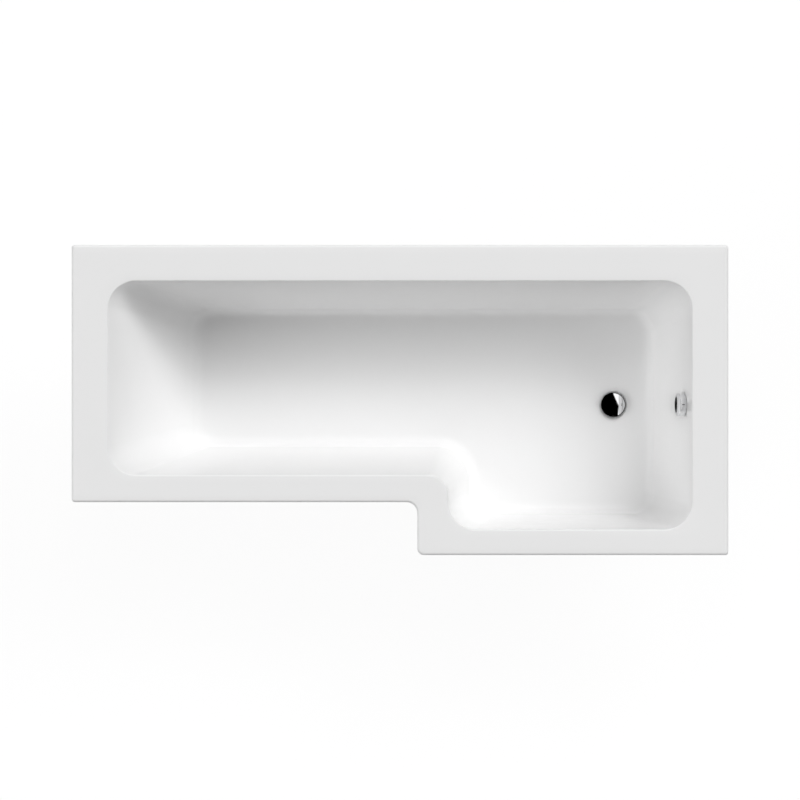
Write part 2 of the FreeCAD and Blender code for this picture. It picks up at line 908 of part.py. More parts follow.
def wall_bracket(label, x):
    """Z-shaped strap under the back batten that passes the lip and lies flat on the wall."""
    body = new_body(label)
    metal = size("wall_bracket_sheet")
    wide = size("wall_bracket_wide")
    drop = -(acrylic + size("wall_bracket_lip_gap"))
    arm = drop - size("wall_bracket_arm")
    jog = rim_height - size("lip_depth") - size("wall_bracket_jog") - batten_under
    end = jog - size("wall_bracket_leg")
    profile = new_sketch(body, "profile", "YZ_Plane")
    add_polygon(profile, [
        (arm, 0), (drop, 0), (drop, jog), (0, jog), (0, end), (-metal, end), (-metal, jog - metal),
        (drop - metal, jog - metal), (drop - metal, -metal), (arm, -metal),
    ])
    pad(body, profile, wide)
    wall_hole = new_sketch(body, "wall_hole", "XZ_Plane")
    add_circle(wall_hole, wide / 2, (jog + end) / 2, size("wall_screw_radius"))
    pocket(body, wall_hole, metal * 2, reverse=True)
    batten_hole = new_sketch(body, "batten_hole", "XY_Plane")
    add_circle(batten_hole, wide / 2, batten_screw_y - half_width, screw_hole)
    pocket(body, batten_hole, metal * 2)
    place(body, x - wide / 2, half_width, batten_under)


# Waste and click plug, in heights from the floor of the well

flange_under = size("foam_thick") - size("recess_depth")
flange_top = flange_under + size("flange_thick")
tail_end = flange_top - size("tail_length")
tail_clear = size("tail_radius") + size("washer_gap")
washer_top = -(size("recess_depth") + acrylic)
banjo_top = washer_top - size("washer_thick")
banjo_under = banjo_top - size("banjo_high")
banjo_middle = (banjo_top + banjo_under) / 2
backnut_under = banjo_under - size("backnut_high")
dish_slope = size("dish_depth") / (size("dish_radius") - size("tail_bore"))
spider_top = -size("spider_drop")
collar_top = spider_top + size("sleeve_collar_high")
guide_under = collar_top - size("sleeve_guide")
stem_head_top = guide_under - size("thread_gap")
stem_head_under = stem_head_top - size("stem_head_high")
spring_seat = stem_head_under - size("spring_high")
stem_clear = size("stem_radius") + size("thread_gap")


def dish_height(radius):
    return flange_top - (size("dish_radius") - radius) * dish_slope


def raised_dish(radius):
    """Height of the open plug's seal above the dish that it closes on."""
    return dish_height(radius) + size("plug_gap") + size("plug_travel")


cap_under = raised_dish(size("seal_outer")) + size("seal_thick")


def seat_on_waste(body):
    place(body, waste_x, waste_y, floor_height)


def ring(label, inner, outer, low, top):
    body = new_body(label)
    revolve(body, "profile", [(inner, low), (outer, low), (outer, top), (inner, top)])
    return body


def waste_body():
    """Flanged outlet with a dished seat, a spider for the click sleeve and a slotted, threaded tail."""
    body = new_body("waste_body")
    bore = size("tail_bore")
    tail = size("tail_radius")
    flange = size("flange_radius")
    relief = tail - size("relief_depth")
    thread_top = backnut_under - size("relief_high")
    revolve(body, "profile", [
        (bore, tail_end), (tail, tail_end), (tail, thread_top), (relief, thread_top), (relief, backnut_under),
        (tail, backnut_under), (tail, flange_under), (flange, flange_under),
        (flange, flange_under + size("flange_edge")), (size("dish_radius") + size("flange_land"), flange_top),
        (size("dish_radius"), flange_top), (bore, flange_top - size("dish_depth")),
    ])
    spider_low = spider_top - size("spider_high")
    half = size("spider_arm") / 2
    reach = (bore + tail) / 2
    arms = new_sketch(body, "arms", "XY_Plane", spider_low)
    add_polygon(arms, [
        (half, reach), (-half, reach), (-half, half), (-reach, half), (-reach, -half), (-half, -half),
        (-half, -reach), (half, -reach), (half, -half), (reach, -half), (reach, half), (half, half),
    ])
    pad(body, arms, size("spider_high"))
    cylinder_feature(body, "boss", "Additive", size("spider_boss"), size("spider_high"), (0, 0, spider_low))
    cylinder_feature(
        body, "sleeve_hole", "Subtractive", size("sleeve_radius") + size("thread_gap"),
        size("spider_high"), (0, 0, spider_low),
    )
    for role in ("XZ_Plane", "YZ_Plane"):
        slots = new_sketch(body, f"slots_{role}", role)
        add_rectangle(slots, 0, banjo_middle, size("tail_slot_wide"), size("tail_slot_high"))
        pocket(body, slots, both_ways=True)
    seat_on_waste(body)


def waste_washers():
    foam = ring(
        "waste_foam_washer", tail_clear, size("flange_radius") - size("flange_land"),
        -size("recess_depth"), flange_under,
    )
    rubber = ring("waste_lower_washer", tail_clear, size("washer_radius"), banjo_top, washer_top)
    seat_on_waste(foam)
    seat_on_waste(rubber)


def overflow_banjo():
    """Ring round the slotted tail that leads the overflow water in from a side branch."""
    body = new_body("overflow_banjo")
    half_groove = size("spigot_bore") + size("banjo_groove_gap")
    groove = size("banjo_groove")
    revolve(body, "profile", [
        (tail_clear, banjo_under), (size("banjo_radius"), banjo_under), (size("banjo_radius"), banjo_top),
        (tail_clear, banjo_top), (tail_clear, banjo_middle + half_groove),
        (groove, banjo_middle + half_groove), (groove, banjo_middle - half_groove),
        (tail_clear, banjo_middle - half_groove),
    ])
    reach = size("branch_reach")
    spigot = size("spigot_length")
    root = groove + (size("banjo_radius") - groove) / 3
    cylinder_feature(
        body, "branch", "Additive", size("branch_radius"), reach - root, (root, 0, banjo_middle), ALONG_X
    )
    cylinder_feature(
        body, "spigot", "Additive", size("spigot_radius"), spigot, (reach, 0, banjo_middle), ALONG_X
    )
    inlet = (tail_clear + groove) / 2
    cylinder_feature(
        body, "bore", "Subtractive", size("spigot_bore"), reach + spigot - inlet, (inlet, 0, banjo_middle),
        ALONG_X,
    )
    seat_on_waste(body)


def waste_backnut():
    body = new_body("waste_backnut")
    outline = new_sketch(body, "outline", "XY_Plane", banjo_under)
    add_hexagon(outline, size("backnut_flats"))
    add_circle(outline, 0, 0, size("tail_radius") + size("thread_gap"))
    pad(body, outline, size("backnut_high"), reverse=True)
    seat_on_waste(body)


def plug_cap():
    """Domed cap with a flat brim that stands over the waste; pressing it down closes the dish."""
    body = new_body("plug_cap")
    radius = size("cap_radius")
    low = cap_under - size("cap_lip")
    edge = low + size("cap_edge")
    lip = radius - size("cap_lip_thick")
    hub_low = cap_under - size("cap_hub_drop")
    socket = cap_under + size("cap_socket")
    revolve(body, "profile", [
        (0, edge + size("cap_dome")), (radius - size("cap_brim"), edge), (radius, edge), (radius, low),
        (lip, low), (lip, cap_under), (size("cap_hub"), cap_under), (size("cap_hub"), hub_low),
        (stem_clear, hub_low), (stem_clear, socket), (0, socket),
    ], dome=0)
    seat_on_waste(body)


def plug_seal():
    body = new_body("plug_seal")
    inner = size("seal_inner")
    outer = size("seal_outer")
    revolve(body, "profile", [
        (inner, raised_dish(inner)), (outer, raised_dish(outer)), (outer, cap_under), (inner, cap_under),
    ])
    seat_on_waste(body)


def click_stem():
    """Push rod under the cap; its head is trapped in the sleeve."""
    body = new_body("click_stem")
    radius = size("stem_radius")
    head = size("stem_head_radius")
    top = cap_under + size("cap_socket") - size("thread_gap")
    revolve(body, "profile", [
        (0, stem_head_under), (head, stem_head_under), (head, stem_head_top), (radius, stem_head_top),
        (radius, top), (0, top),
    ])
    seat_on_waste(body)


def click_sleeve():
    """Screwed into the spider; guides the stem and holds the spring."""
    body = new_body("click_sleeve")
    outer = size("sleeve_radius")
    bore = size("sleeve_bore")
    end = spring_seat - size("sleeve_floor")
    revolve(body, "profile", [
        (stem_clear, collar_top), (size("sleeve_collar"), collar_top), (size("sleeve_collar"), spider_top),
        (outer, spider_top), (outer, end), (0, end), (0, spring_seat), (bore, spring_seat),
        (bore, guide_under), (stem_clear, guide_under),
    ])
    seat_on_waste(body)


def click_spring():
    body = new_body("click_spring")
    wire = size("spring_wire")
    play = size("thread_gap")
    section = new_sketch(body, "section", "XZ_Plane")
    add_circle(section, size("spring_radius"), spring_seat + wire + play, wire)
    rise = size("spring_high") - wire * 2 - play * 2
    coil = body.newObject("PartDesign::AdditiveHelix", "click_spring_coil")
    coil.Profile = section
    coil.ReferenceAxis = (section, ["V_Axis"])
    coil.Mode = "pitch-height-angle"
    coil.setExpression("Pitch", (rise / size("spring_turns")).text)
    coil.setExpression("Height", rise.text)
    seat_on_waste(body)


# Overflow, in heights from the inner face of the end wall, and the hose down to the waste

insert_front = size("front_seal_thick") + size("insert_flange_thick")
insert_clear = size("insert_radius") + size("washer_gap")
gasket_back = -(wall_thick + size("gasket_thick"))
elbow_end = gasket_back - size("elbow_depth")
chamber_top = gasket_back - size("elbow_socket")
chamber_end = elbow_end + size("elbow_back")
outlet = (chamber_top + chamber_end) / 2
cap_face = size("overflow_cap_depth") - size("overflow_cap_dome")
cap_inside = cap_face - size("overflow_cap_face")


def seat_on_wall(body):
    lay_over(body, overflow_turn)
    place(body, overflow_x, waste_y, overflow_z)


def overflow_cap():
    """Drum-shaped cover pushed on the insert's post; water enters through a notch below."""
    body = new_body("overflow_cap")
    radius = size("overflow_cap_radius")
    inside = radius - size("overflow_cap_wall")
    low = size("overflow_cap_gap")
    post = size("insert_post") + size("thread_gap")
    socket = cap_inside - size("post_socket_high")
    revolve(body, "profile", [
        (0, size("overflow_cap_depth")), (radius, cap_face), (radius, low), (inside, low),
        (inside, cap_inside), (size("post_socket"), cap_inside), (size("post_socket"), socket),
        (post, socket), (post, cap_inside), (0, cap_inside),
    ], dome=0)
    round_edges(body, "face_edge", size("overflow_cap_round"), at_height(cap_face))
    notch = new_sketch(body, "notch", "XY_Plane", low)
    add_rectangle(notch, -radius, 0, radius, size("overflow_notch_wide"))
    pocket(body, notch, size("overflow_notch_deep"), reverse=True)
    seat_on_wall(body)


def overflow_insert():
    """Threaded tube that clamps the wall, with a bar and post that carry the cap."""
    body = new_body("overflow_insert")
    bore = size("insert_bore")
    tube = size("insert_radius")
    flange = size("insert_flange")
    end = gasket_back - size("insert_grip")
    revolve(body, "profile", [
        (bore, end), (tube, end), (tube, size("front_seal_thick")), (flange, size("front_seal_thick")),
        (flange, insert_front), (bore, insert_front),
    ])
    bar = new_sketch(body, "bar", "XY_Plane")
    add_rectangle(bar, 0, 0, size("insert_bar"), bore + tube)
    pad(body, bar, insert_front)
    cylinder_feature(body, "post", "Additive", size("insert_post"), cap_inside - size("thread_gap"))
    seat_on_wall(body)


def overflow_seals():
    front = ring("overflow_front_seal", insert_clear, size("insert_flange"), 0, size("front_seal_thick"))
    back = ring("overflow_gasket", insert_clear, size("gasket_radius"), gasket_back, -wall_thick)
    seat_on_wall(front)
    seat_on_wall(back)


def overflow_elbow():
    """Moulded chamber behind the wall, with a spigot pointing down the wall."""
    body = new_body("overflow_elbow")
    socket = size("insert_radius") + size("thread_gap")
    flange_back = gasket_back - size("elbow_flange_thick")
    chamber = size("insert_bore")
    revolve(body, "profile", [
        (socket, gasket_back), (size("elbow_flange"), gasket_back), (size("elbow_flange"), flange_back),
        (size("elbow_radius"), flange_back), (size("elbow_radius"), elbow_end), (0, elbow_end),
        (0, chamber_end), (chamber, chamber_end), (chamber, chamber_top), (socket, chamber_top),
    ])
    round_edges(body, "back_edge", size("elbow_round"), at_height(elbow_end))
    reach = size("elbow_reach")
    spigot = size("spigot_length")
    cylinder_feature(
        body, "outlet", "Additive", size("branch_radius"), reach - socket, (-socket, 0, outlet), AGAINST_X
    )
    cylinder_feature(
        body, "spigot", "Additive", size("spigot_radius"), spigot, (-reach, 0, outlet), AGAINST_X
    )
    cylinder_feature(
        body, "bore", "Subtractive", size("spigot_bore"), reach + spigot, (0, 0, outlet), AGAINST_X
    )
    seat_on_wall(body)


# Where the hose starts under the elbow and where it ends at the banjo ring
hose_top_x = overflow_x - size("elbow_reach") * lean_sine - outlet * lean_cosine
hose_top_z = overflow_z - size("elbow_reach") * lean_cosine + outlet * lean_sine
hose_end_x = waste_x + size("branch_reach")
hose_end_z = floor_height + banjo_middle


def union_nuts():
    """Ribbed collars that clamp the hose on its two spigots."""
    down_wall = Size(wall_lean.number + 180, f"{wall_lean.text} + 180 deg")
    places = {
        "hose_nut_upper": (hose_top_x, hose_top_z, (Y_AXIS, down_wall)),
        "hose_nut_lower": (hose_end_x, hose_end_z, ALONG_X),
    }
    for label, (x, z, turn) in places.items():
        body = ring(
            label, size("hose_radius") + size("union_gap"), size("union_radius"), FLUSH, size("union_length")
        )
        lay_over(body, turn)
        place(body, x, waste_y, z)


def overflow_hose():
    """Corrugated hose: straight down beside the end wall, then one bend to the banjo ring."""
    radius = size("hose_radius").number
    root = size("hose_root").number
    start = point(hose_top_x, waste_y, hose_top_z)
    finish = point(hose_end_x, waste_y, hose_end_z)
    way = Vector(-lean_sine.number, 0, -lean_cosine.number)
    corner = start + way * ((start.z - finish.z) / lean_cosine.number)
    cuff = radius * 2
    tangent = (corner - finish).Length - cuff
    turn = way.getAngle(Vector(-1, 0, 0))
    bend = tangent / math.tan(turn / 2)
    first = corner - way * tangent
    last = corner - Vector(tangent, 0, 0)
    inward = Vector(-lean_cosine.number, 0, lean_sine.number)
    centre = first + inward * bend
    middle = centre + (corner - centre).normalize() * bend
    straight = (first - start).Length
    total = straight + bend * turn + cuff

    def station(distance):
        """Point and direction at a distance along the hose."""
        if distance <= straight:
            return start + way * distance, way
        swept = min((distance - straight) / bend, turn)
        swing = Rotation(Y_AXIS, math.degrees(swept))
        spot = centre + swing.multVec(first - centre)
        heading = swing.multVec(way)
        return spot + heading * max(distance - straight - bend * turn, 0), heading

    def hoop(distance, reach):
        spot, heading = station(distance)
        circle = Part.Circle(spot, heading, reach)
        circle.XAxis = Y_AXIS
        return Part.Wire(circle.toShape())

    rib_profile = {"groove_start": root, "groove_end": root, "crest_start": radius, "crest_end": radius}
    count = int(size("hose_ribs").number)
    pitch = (total - cuff * 2) / count
    hoops = [hoop(0, radius), hoop(cuff, radius)]
    for rib in range(count):
        base = cuff + pitch * rib
        for share, reach in rib_profile.items():
            hoops.append(hoop(base + pitch * size(share).number, reach))
    hoops.append(hoop(total, radius))
    outside = Part.makeLoft(hoops, True, True)
    path = Part.Wire([
        Part.LineSegment(start, first).toShape(),
        Part.Arc(first, middle, last).toShape(),
        Part.LineSegment(last, finish).toShape(),
    ])
    bore = path.makePipeShell([hoop(0, size("hose_bore").number)], True, False)
    item = doc.addObject("Part::Feature", "overflow_hose")
    item.Shape = outside.cut(bore)
    keep(item, "overflow_hose")
    print(f"hose length {total:.1f}, bend radius {bend:.1f}")


bath_shell()
fibreglass_backing()
baseboard()
rim_battens()
leg_frame("leg_frame_head", head_frame_x, leg_front)
leg_frame("leg_frame_foot", foot_frame_x, leg_shower)
centre_leg_bracket()
legs()
screws()
for bracket_label, bracket_x in wall_bracket_places.items():
    wall_bracket(bracket_label, bracket_x)
waste_body()
waste_washers()
overflow_banjo()
waste_backnut()
plug_cap()
plug_seal()
click_stem()
click_sleeve()
click_spring()
overflow_cap()
overflow_insert()
overflow_seals()
overflow_elbow()
union_nuts()
overflow_hose()

doc.recompute()
failed = [item.Name for item in doc.Objects if "Invalid" in item.State or "Error" in item.State]
failed += [item.Label for item in sub_parts if item.Shape.isNull() or not item.Shape.isValid()]
if failed:
    raise RuntimeError(f"not built: {failed}")
os.makedirs("parts", exist_ok=True)
for item in sub_parts:
    item.Shape.exportStep(f"parts/{item.Label}.step")
print(f"{len(sub_parts)} sub-parts")
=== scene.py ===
import bmesh
import bpy
import numpy as np
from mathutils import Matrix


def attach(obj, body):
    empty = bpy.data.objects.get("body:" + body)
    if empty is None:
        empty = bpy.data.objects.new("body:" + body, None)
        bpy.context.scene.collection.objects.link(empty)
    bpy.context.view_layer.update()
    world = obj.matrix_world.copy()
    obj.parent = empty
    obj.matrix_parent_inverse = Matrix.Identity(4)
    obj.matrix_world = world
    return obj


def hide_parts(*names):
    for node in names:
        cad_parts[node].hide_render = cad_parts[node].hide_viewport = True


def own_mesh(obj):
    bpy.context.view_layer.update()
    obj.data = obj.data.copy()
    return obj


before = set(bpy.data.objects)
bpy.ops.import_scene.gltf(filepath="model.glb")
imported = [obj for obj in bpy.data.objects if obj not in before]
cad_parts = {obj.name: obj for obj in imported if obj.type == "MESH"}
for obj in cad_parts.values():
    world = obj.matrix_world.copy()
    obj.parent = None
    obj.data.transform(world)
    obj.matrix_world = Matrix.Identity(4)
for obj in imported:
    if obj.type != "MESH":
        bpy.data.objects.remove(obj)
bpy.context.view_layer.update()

# Acrylic shell. A sheet of white acrylic, 5 mm thick, is drawn hot over a mould by vacuum, so the rim, the
# sloping well and the recess round the waste are one skin with rounded edges, trimmed at the lip.

MM = 0.001
RIM_TOP = 560.0
LIP_END = 525.0
FLOOR_TOP = 170.0
SHEET = 5.0
RIM_EDGE = 7.0

# Sides of an L-shaped outline: head, foot, back, narrow front, shower front and step
OUTWARD = np.array([-1.0, 1.0, 1.0, -1.0, -1.0, -1.0])
RIM_SIDES = np.array([-900.0, 900.0, 425.0, -280.0, -425.0, 47.5])
WELL_SIDES = np.array([-802.0, 802.0, 327.0, -206.0, -355.4, 132.5])
WALL_RUNS = np.array([238.0, 116.0, 83.0, 83.0, 47.0, 60.0])
FLOOR_ROUNDS = np.array([64.0, 62.0, 42.0, 42.0, 40.0, 46.0])
WELL_EDGES = np.array([3.0, 3.0, 3.0, 5.0, 5.0, 8.0])
FILLET_REACH = 1.2
FILLET_RINGS = 25
WALL_RINGS = 19
EDGE_RINGS = 7
FLOOR_RINGS = 14

# Corners, anticlockwise from the back of the foot end: the sides that cross there, the sides that a walk
# round the outline arrives and leaves by, and the bulge, which is inwards at the step's inner corner.
CORNER_X = [1, 0, 0, 5, 5, 1]
CORNER_Y = [2, 2, 3, 3, 4, 4]
ARRIVING = [1, 2, 0, 3, 5, 4]
LEAVING = [2, 0, 3, 5, 4, 1]
WAYS_IN = np.array([[0, 1], [-1, 0], [0, -1], [1, 0], [0, -1], [1, 0]])
WAYS_OUT = np.roll(WAYS_IN, -1, axis=0)
BULGE = np.array([1.0, 1.0, 1.0, -1.0, 1.0, 1.0])
RIM_RADII = np.array([8.0, 8.0, 8.0, 31.0, 18.0, 8.0])
WELL_RADII = np.array([78.0, 78.0, 78.0, 55.0, 78.0, 78.0])
FLOOR_RADII = np.array([60.0, 60.0, 60.0, 90.0, 60.0, 60.0])
ARC_STEPS = 24
SIDE_STEPS = 32
COLUMNS = 96

WASTE = np.array([585.0, -13.0])
RECESS_DEPTH = 4.0
RECESS_INNER = 35.5
RECESS_OUTER = 37.5
RECESS_RINGS = 9
WASTE_HOLE = 26.0
BOSS = 41.5


def outlines(sides, heights, radii):
    """Closed L-shaped rings, one for each row of six sides, six heights and six corner radii. A corner is
    centre + r (sin a · way in − cos a · way out) for a from 0 to 90 degrees, and sides run straight from
    arc to arc. The height eases from one side's to the next through the corner by a smooth step."""
    sharp = np.stack([sides[:, CORNER_X], sides[:, CORNER_Y]], axis=-1)
    turn = np.linspace(0, 1, ARC_STEPS + 1)
    sine = np.sin(turn * np.pi / 2)[:, None]
    cosine = np.cos(turn * np.pi / 2)[:, None]
    reach = radii[:, :, None, None]
    centres = sharp[:, :, None] + reach * (WAYS_OUT - WAYS_IN)[:, None]
    arcs = centres + reach * (sine * WAYS_IN[:, None] - cosine * WAYS_OUT[:, None])
    ease = turn ** 2 * (3 - 2 * turn)
    arc_heights = heights[:, ARRIVING, None] * (1 - ease) + heights[:, LEAVING, None] * ease
    along = np.linspace(0, 1, SIDE_STEPS + 1)[1:-1, None]
    runs = arcs[:, :, -1:] * (1 - along) + np.roll(arcs[:, :, :1], -1, axis=1) * along
    run_heights = np.broadcast_to(heights[:, LEAVING, None], runs.shape[:3])
    flat = np.concatenate([arcs, runs], axis=2)
    height = np.concatenate([arc_heights, run_heights], axis=2)
    return np.concatenate([flat, height[..., None]], axis=-1).reshape(len(sides), -1, 3)


def rim_rings(insets, heights):
    """Rings of the rim's outline, each drawn in by an inset at a height."""
    inset = np.asarray(insets, float)[:, None]
    level = np.asarray(heights, float)[:, None] * np.ones(6)
    return outlines(RIM_SIDES - OUTWARD * inset, level, RIM_RADII - BULGE * inset)


def well_rings(growth, edge):
    """Rings up the well from the end of the floor's fillet to the rim, for a skin grown outwards and sunk
    alike. Each side's section is a fillet at the floor, a straight wall and an arc at the rim. An arc of
    radius r between lines that turn by t starts r tan(t / 2) from their corner. The fillet starts a little
    further off and turns by t (s - sin(2 pi s) / 2 pi) over its share s, so that it leaves the floor and
    the wall with no line. A corner's radius goes from the rim's to the floor's with the depth, less what
    the fillets draw in."""
    depth = RIM_TOP - FLOOR_TOP
    turn = np.arccos(WALL_RUNS / np.hypot(WALL_RUNS, depth))
    rounds = FLOOR_ROUNDS + growth
    start = FILLET_REACH * rounds * np.tan(turn / 2)
    share = np.linspace(0, 1, FILLET_RINGS)[:, None]
    middle = (share[1:] + share[:-1]) / 2
    angle = turn * (middle - np.sin(2 * np.pi * middle) / (2 * np.pi))
    along = np.concatenate([np.zeros((1, 6)), np.cumsum(np.cos(angle), axis=0)])
    up = np.concatenate([np.zeros((1, 6)), np.cumsum(np.sin(angle), axis=0)])
    stretch = start * np.sin(turn) / up[-1]
    floor_q = WALL_RUNS + start - stretch * along
    floor_z = FLOOR_TOP + stretch * up
    edge_angle = np.linspace(1, 0, EDGE_RINGS)[:, None] * turn
    edge_q = edge * (np.sin(edge_angle) - np.tan(turn / 2))
    edge_z = RIM_TOP - edge * (1 - np.cos(edge_angle))
    share = np.linspace(0, 1, WALL_RINGS + 2)[1:-1, None]
    wall_q = floor_q[-1] * (1 - share) + edge_q[0] * share
    wall_z = floor_z[-1] * (1 - share) + edge_z[0] * share
    q = np.concatenate([floor_q, wall_q, edge_q])
    z = np.concatenate([floor_z, wall_z, edge_z])
    fall = np.clip((RIM_TOP - z) / depth, 0, 1)
    drawn_in = q - WALL_RUNS * fall - growth
    corner_fall = (fall[:, ARRIVING] + fall[:, LEAVING]) / 2
    corner_drawn = (drawn_in[:, ARRIVING] + drawn_in[:, LEAVING]) / 2
    radii = WELL_RADII + (FLOOR_RADII - WELL_RADII) * corner_fall - BULGE * corner_drawn
    return outlines(WELL_SIDES + OUTWARD * (growth - q), z - growth, radii)


def between(first, last, count):
    """Rings on the straight lines from one ring's points to another's, ends left out."""
    share = np.linspace(0, 1, count + 2)[1:-1, None, None]
    return first * (1 - share) + last * share


def unit(vectors):
    """Vectors of the same directions and of length one."""
    return vectors / np.maximum(np.linalg.norm(vectors, axis=-1, keepdims=True), 1e-9)


def waste_rings(ring, radii, heights):
    """Circles round the waste, whose points lie in the directions of the points of a ring round it."""
    way = unit(ring[:, :2] - WASTE)
    radius = np.asarray(radii, float)[:, None, None]
    height = np.broadcast_to(np.asarray(heights, float)[:, None, None], (len(radii), len(ring), 1))
    return np.concatenate([WASTE + radius * way, height], axis=-1)


def grid_faces(rows, columns, wrap):
    """Quads between neighbouring rings of a grid; wrap joins the last ring to the first."""
    index = np.arange(rows * columns).reshape(rows, columns)
    low = index if wrap else index[:-1]
    high = np.roll(index, -1, axis=0) if wrap else index[1:]
    quads = np.stack([low, high, np.roll(high, -1, axis=1), np.roll(low, -1, axis=1)], axis=-1)
    return quads.reshape(-1, 4)


def put(name, data):
    """A new object in the scene."""
    item = bpy.data.objects.new(name, data)
    bpy.context.scene.collection.objects.link(item)
    return item


def make_object(name, grids, wrap=False, crease=35):
    """One object of one or more grids of rings in millimetres. Rings that shrink to a point are merged
    there, and edges sharper than the crease, in degrees, stay sharp."""
    points = [grid.reshape(-1, 3) * MM for grid in grids]
    starts = np.cumsum([0] + [len(spots) for spots in points])
    faces = [grid_faces(*grid.shape[:2], wrap) + start for grid, start in zip(grids, starts)]
    mesh = bpy.data.meshes.new(name)
    mesh.from_pydata(np.concatenate(points), [], np.concatenate(faces))
    tidy = bmesh.new()
    tidy.from_mesh(mesh)
    bmesh.ops.remove_doubles(tidy, verts=tidy.verts, dist=1e-7)
    bmesh.ops.dissolve_degenerate(tidy, edges=tidy.edges, dist=1e-8)
    tidy.to_mesh(mesh)
    tidy.free()
    mesh.shade_smooth()
    mesh.set_sharp_from_angle(angle=np.radians(crease))
    return put(name, mesh)


def combine(item, grid, operation="DIFFERENCE", wrap=False):
    """Cuts a grid's solid out of a piece for good, or joins it to the piece."""
    tool = make_object("tool", [grid], wrap)
    trim = item.modifiers.new("combine", "BOOLEAN")
    trim.operation = operation
    trim.solver = "EXACT"
    trim.object = tool
    bpy.context.view_layer.update()
    done = item.evaluated_get(bpy.context.evaluated_depsgraph_get())
    item.data = bpy.data.meshes.new_from_object(done)
    item.modifiers.clear()
    bpy.data.objects.remove(tool)


def around(columns):
    """Angles of a ring's columns, evenly spaced over a full turn."""
    return np.linspace(0, 2 * np.pi, columns, endpoint=False)


def polar(reach, angle, height):
    """Points at a reach and a height, in the direction of an angle about the vertical axis."""
    return np.stack(np.broadcast_arrays(reach * np.cos(angle), reach * np.sin(angle), height), axis=-1)


def turned(profile, columns=COLUMNS):
    """Rings about the vertical axis, one for each radius and height of a profile."""
    radius, height = np.asarray(profile, float).T[..., None]
    return polar(radius, around(columns), height)


def placed(grid, origin, lean=0.0):
    """A grid turned about the Y axis by a lean in radians and moved to its origin."""
    sine, cosine = np.sin(lean), np.cos(lean)
    turn = np.array([[cosine, 0, sine], [0, 1, 0], [-sine, 0, cosine]])
    return grid @ turn.T + np.asarray(origin, float)


# The foot wall's slope, and the overflow's centre on its inner face: the hole there is square to the wall
WALL_LEAN = np.arctan2(WALL_RUNS[1], RIM_TOP - FLOOR_TOP)
OVERFLOW_HEIGHT = 480.0
OVERFLOW = np.array([
    WELL_SIDES[1] - (RIM_TOP - OVERFLOW_HEIGHT) * np.tan(WALL_LEAN), WASTE[1], OVERFLOW_HEIGHT,
])
OVERFLOW_TURN = WALL_LEAN - np.pi / 2
OVERFLOW_HOLE = 26.0
CUT_REACH = 40.0
overflow_drill = placed(turned([
    (0, CUT_REACH), (OVERFLOW_HOLE, CUT_REACH), (OVERFLOW_HOLE, -CUT_REACH), (0, -CUT_REACH),
], columns=64), OVERFLOW, OVERFLOW_TURN)

well_inside = well_rings(0.0, WELL_EDGES)
well_outside = well_rings(SHEET, 0.0)
recess_share = np.linspace(0, 1, RECESS_RINGS)
recess_fall = RECESS_DEPTH * (1 - recess_share ** 2 * (3 - 2 * recess_share))
recess_reach = RECESS_INNER + (RECESS_OUTER - RECESS_INNER) * recess_share
recess = waste_rings(well_inside[0], recess_reach, FLOOR_TOP - recess_fall)
drain = waste_rings(well_inside[0], [WASTE_HOLE], [FLOOR_TOP - RECESS_DEPTH])
edge_angle = np.linspace(0, np.pi / 2, EDGE_RINGS)
rim_edge = rim_rings(RIM_EDGE * (1 - np.sin(edge_angle)), RIM_TOP - RIM_EDGE * (1 - np.cos(edge_angle)))
lip = rim_rings([0, 0, SHEET, SHEET], [LIP_END + SHEET, LIP_END, LIP_END, RIM_TOP - SHEET])
boss_under = FLOOR_TOP - RECESS_DEPTH - SHEET
boss = waste_rings(well_outside[0], [BOSS, BOSS, WASTE_HOLE], [FLOOR_TOP - SHEET, boss_under, boss_under])
acrylic_shell = make_object("acrylic_shell", [np.concatenate([
    drain, recess, between(recess[-1], well_inside[0], FLOOR_RINGS), well_inside,
    between(well_inside[-1], rim_edge[0], count=3), rim_edge, lip,
    between(lip[-1], well_outside[-1], count=2), well_outside[::-1],
    between(well_outside[0], boss[0], count=6), boss,
])], wrap=True)
combine(acrylic_shell, overflow_drill)


def linear(code):
    """Linear red, green, blue and alpha of an sRGB hex colour."""
    shades = np.array([int(code[i:i + 2], 16) for i in (1, 3, 5)]) / 255
    straight = np.where(shades <= 0.04045, shades / 12.92, ((shades + 0.055) / 1.055) ** 2.4)
    return (*straight, 1.0)


def per(size):
    """Texture scale, per metre, of a pattern whose repeats are a size in millimetres."""
    return 1 / (size * MM)


def add(tree, kind, inputs=None, **settings):
    """A new node with settings and inputs: values, hex colours, sockets or nodes (their first output)."""
    made = tree.nodes.new(f"ShaderNode{kind}")
    for key, value in settings.items():
        setattr(made, key, value)
    for key, value in (inputs or {}).items():
        if isinstance(value, str):
            value = linear(value)
        if isinstance(value, bpy.types.Node):
            value = value.outputs[0]
        if isinstance(value, bpy.types.NodeSocket):
            tree.links.new(value, made.inputs[key])
        else:
            made.inputs[key].default_value = value
    return made


def new_material(name):
    """An empty node material and the Object coordinates that its patterns use."""
    material = bpy.data.materials.new(name)
    material.use_nodes = True
    material.node_tree.nodes.clear()
    return material, material.node_tree, add(material.node_tree, "TexCoord").outputs["Object"]


def grained(tree, coords, size, detail, strength, height):
    """A surface raised by a grain of a size and a height in millimetres."""
    grain = add(tree, "TexNoise", {"Vector": coords, "Scale": per(size), "Detail": detail})
    return add(tree, "Bump", {"Height": grain, "Strength": strength, "Distance": height * MM})


def fit_piece(item, material, node, body="bath"):
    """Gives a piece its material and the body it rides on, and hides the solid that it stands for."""
    item.data.materials.clear()
    item.data.materials.append(material)
    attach(item, body)
    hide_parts(node)


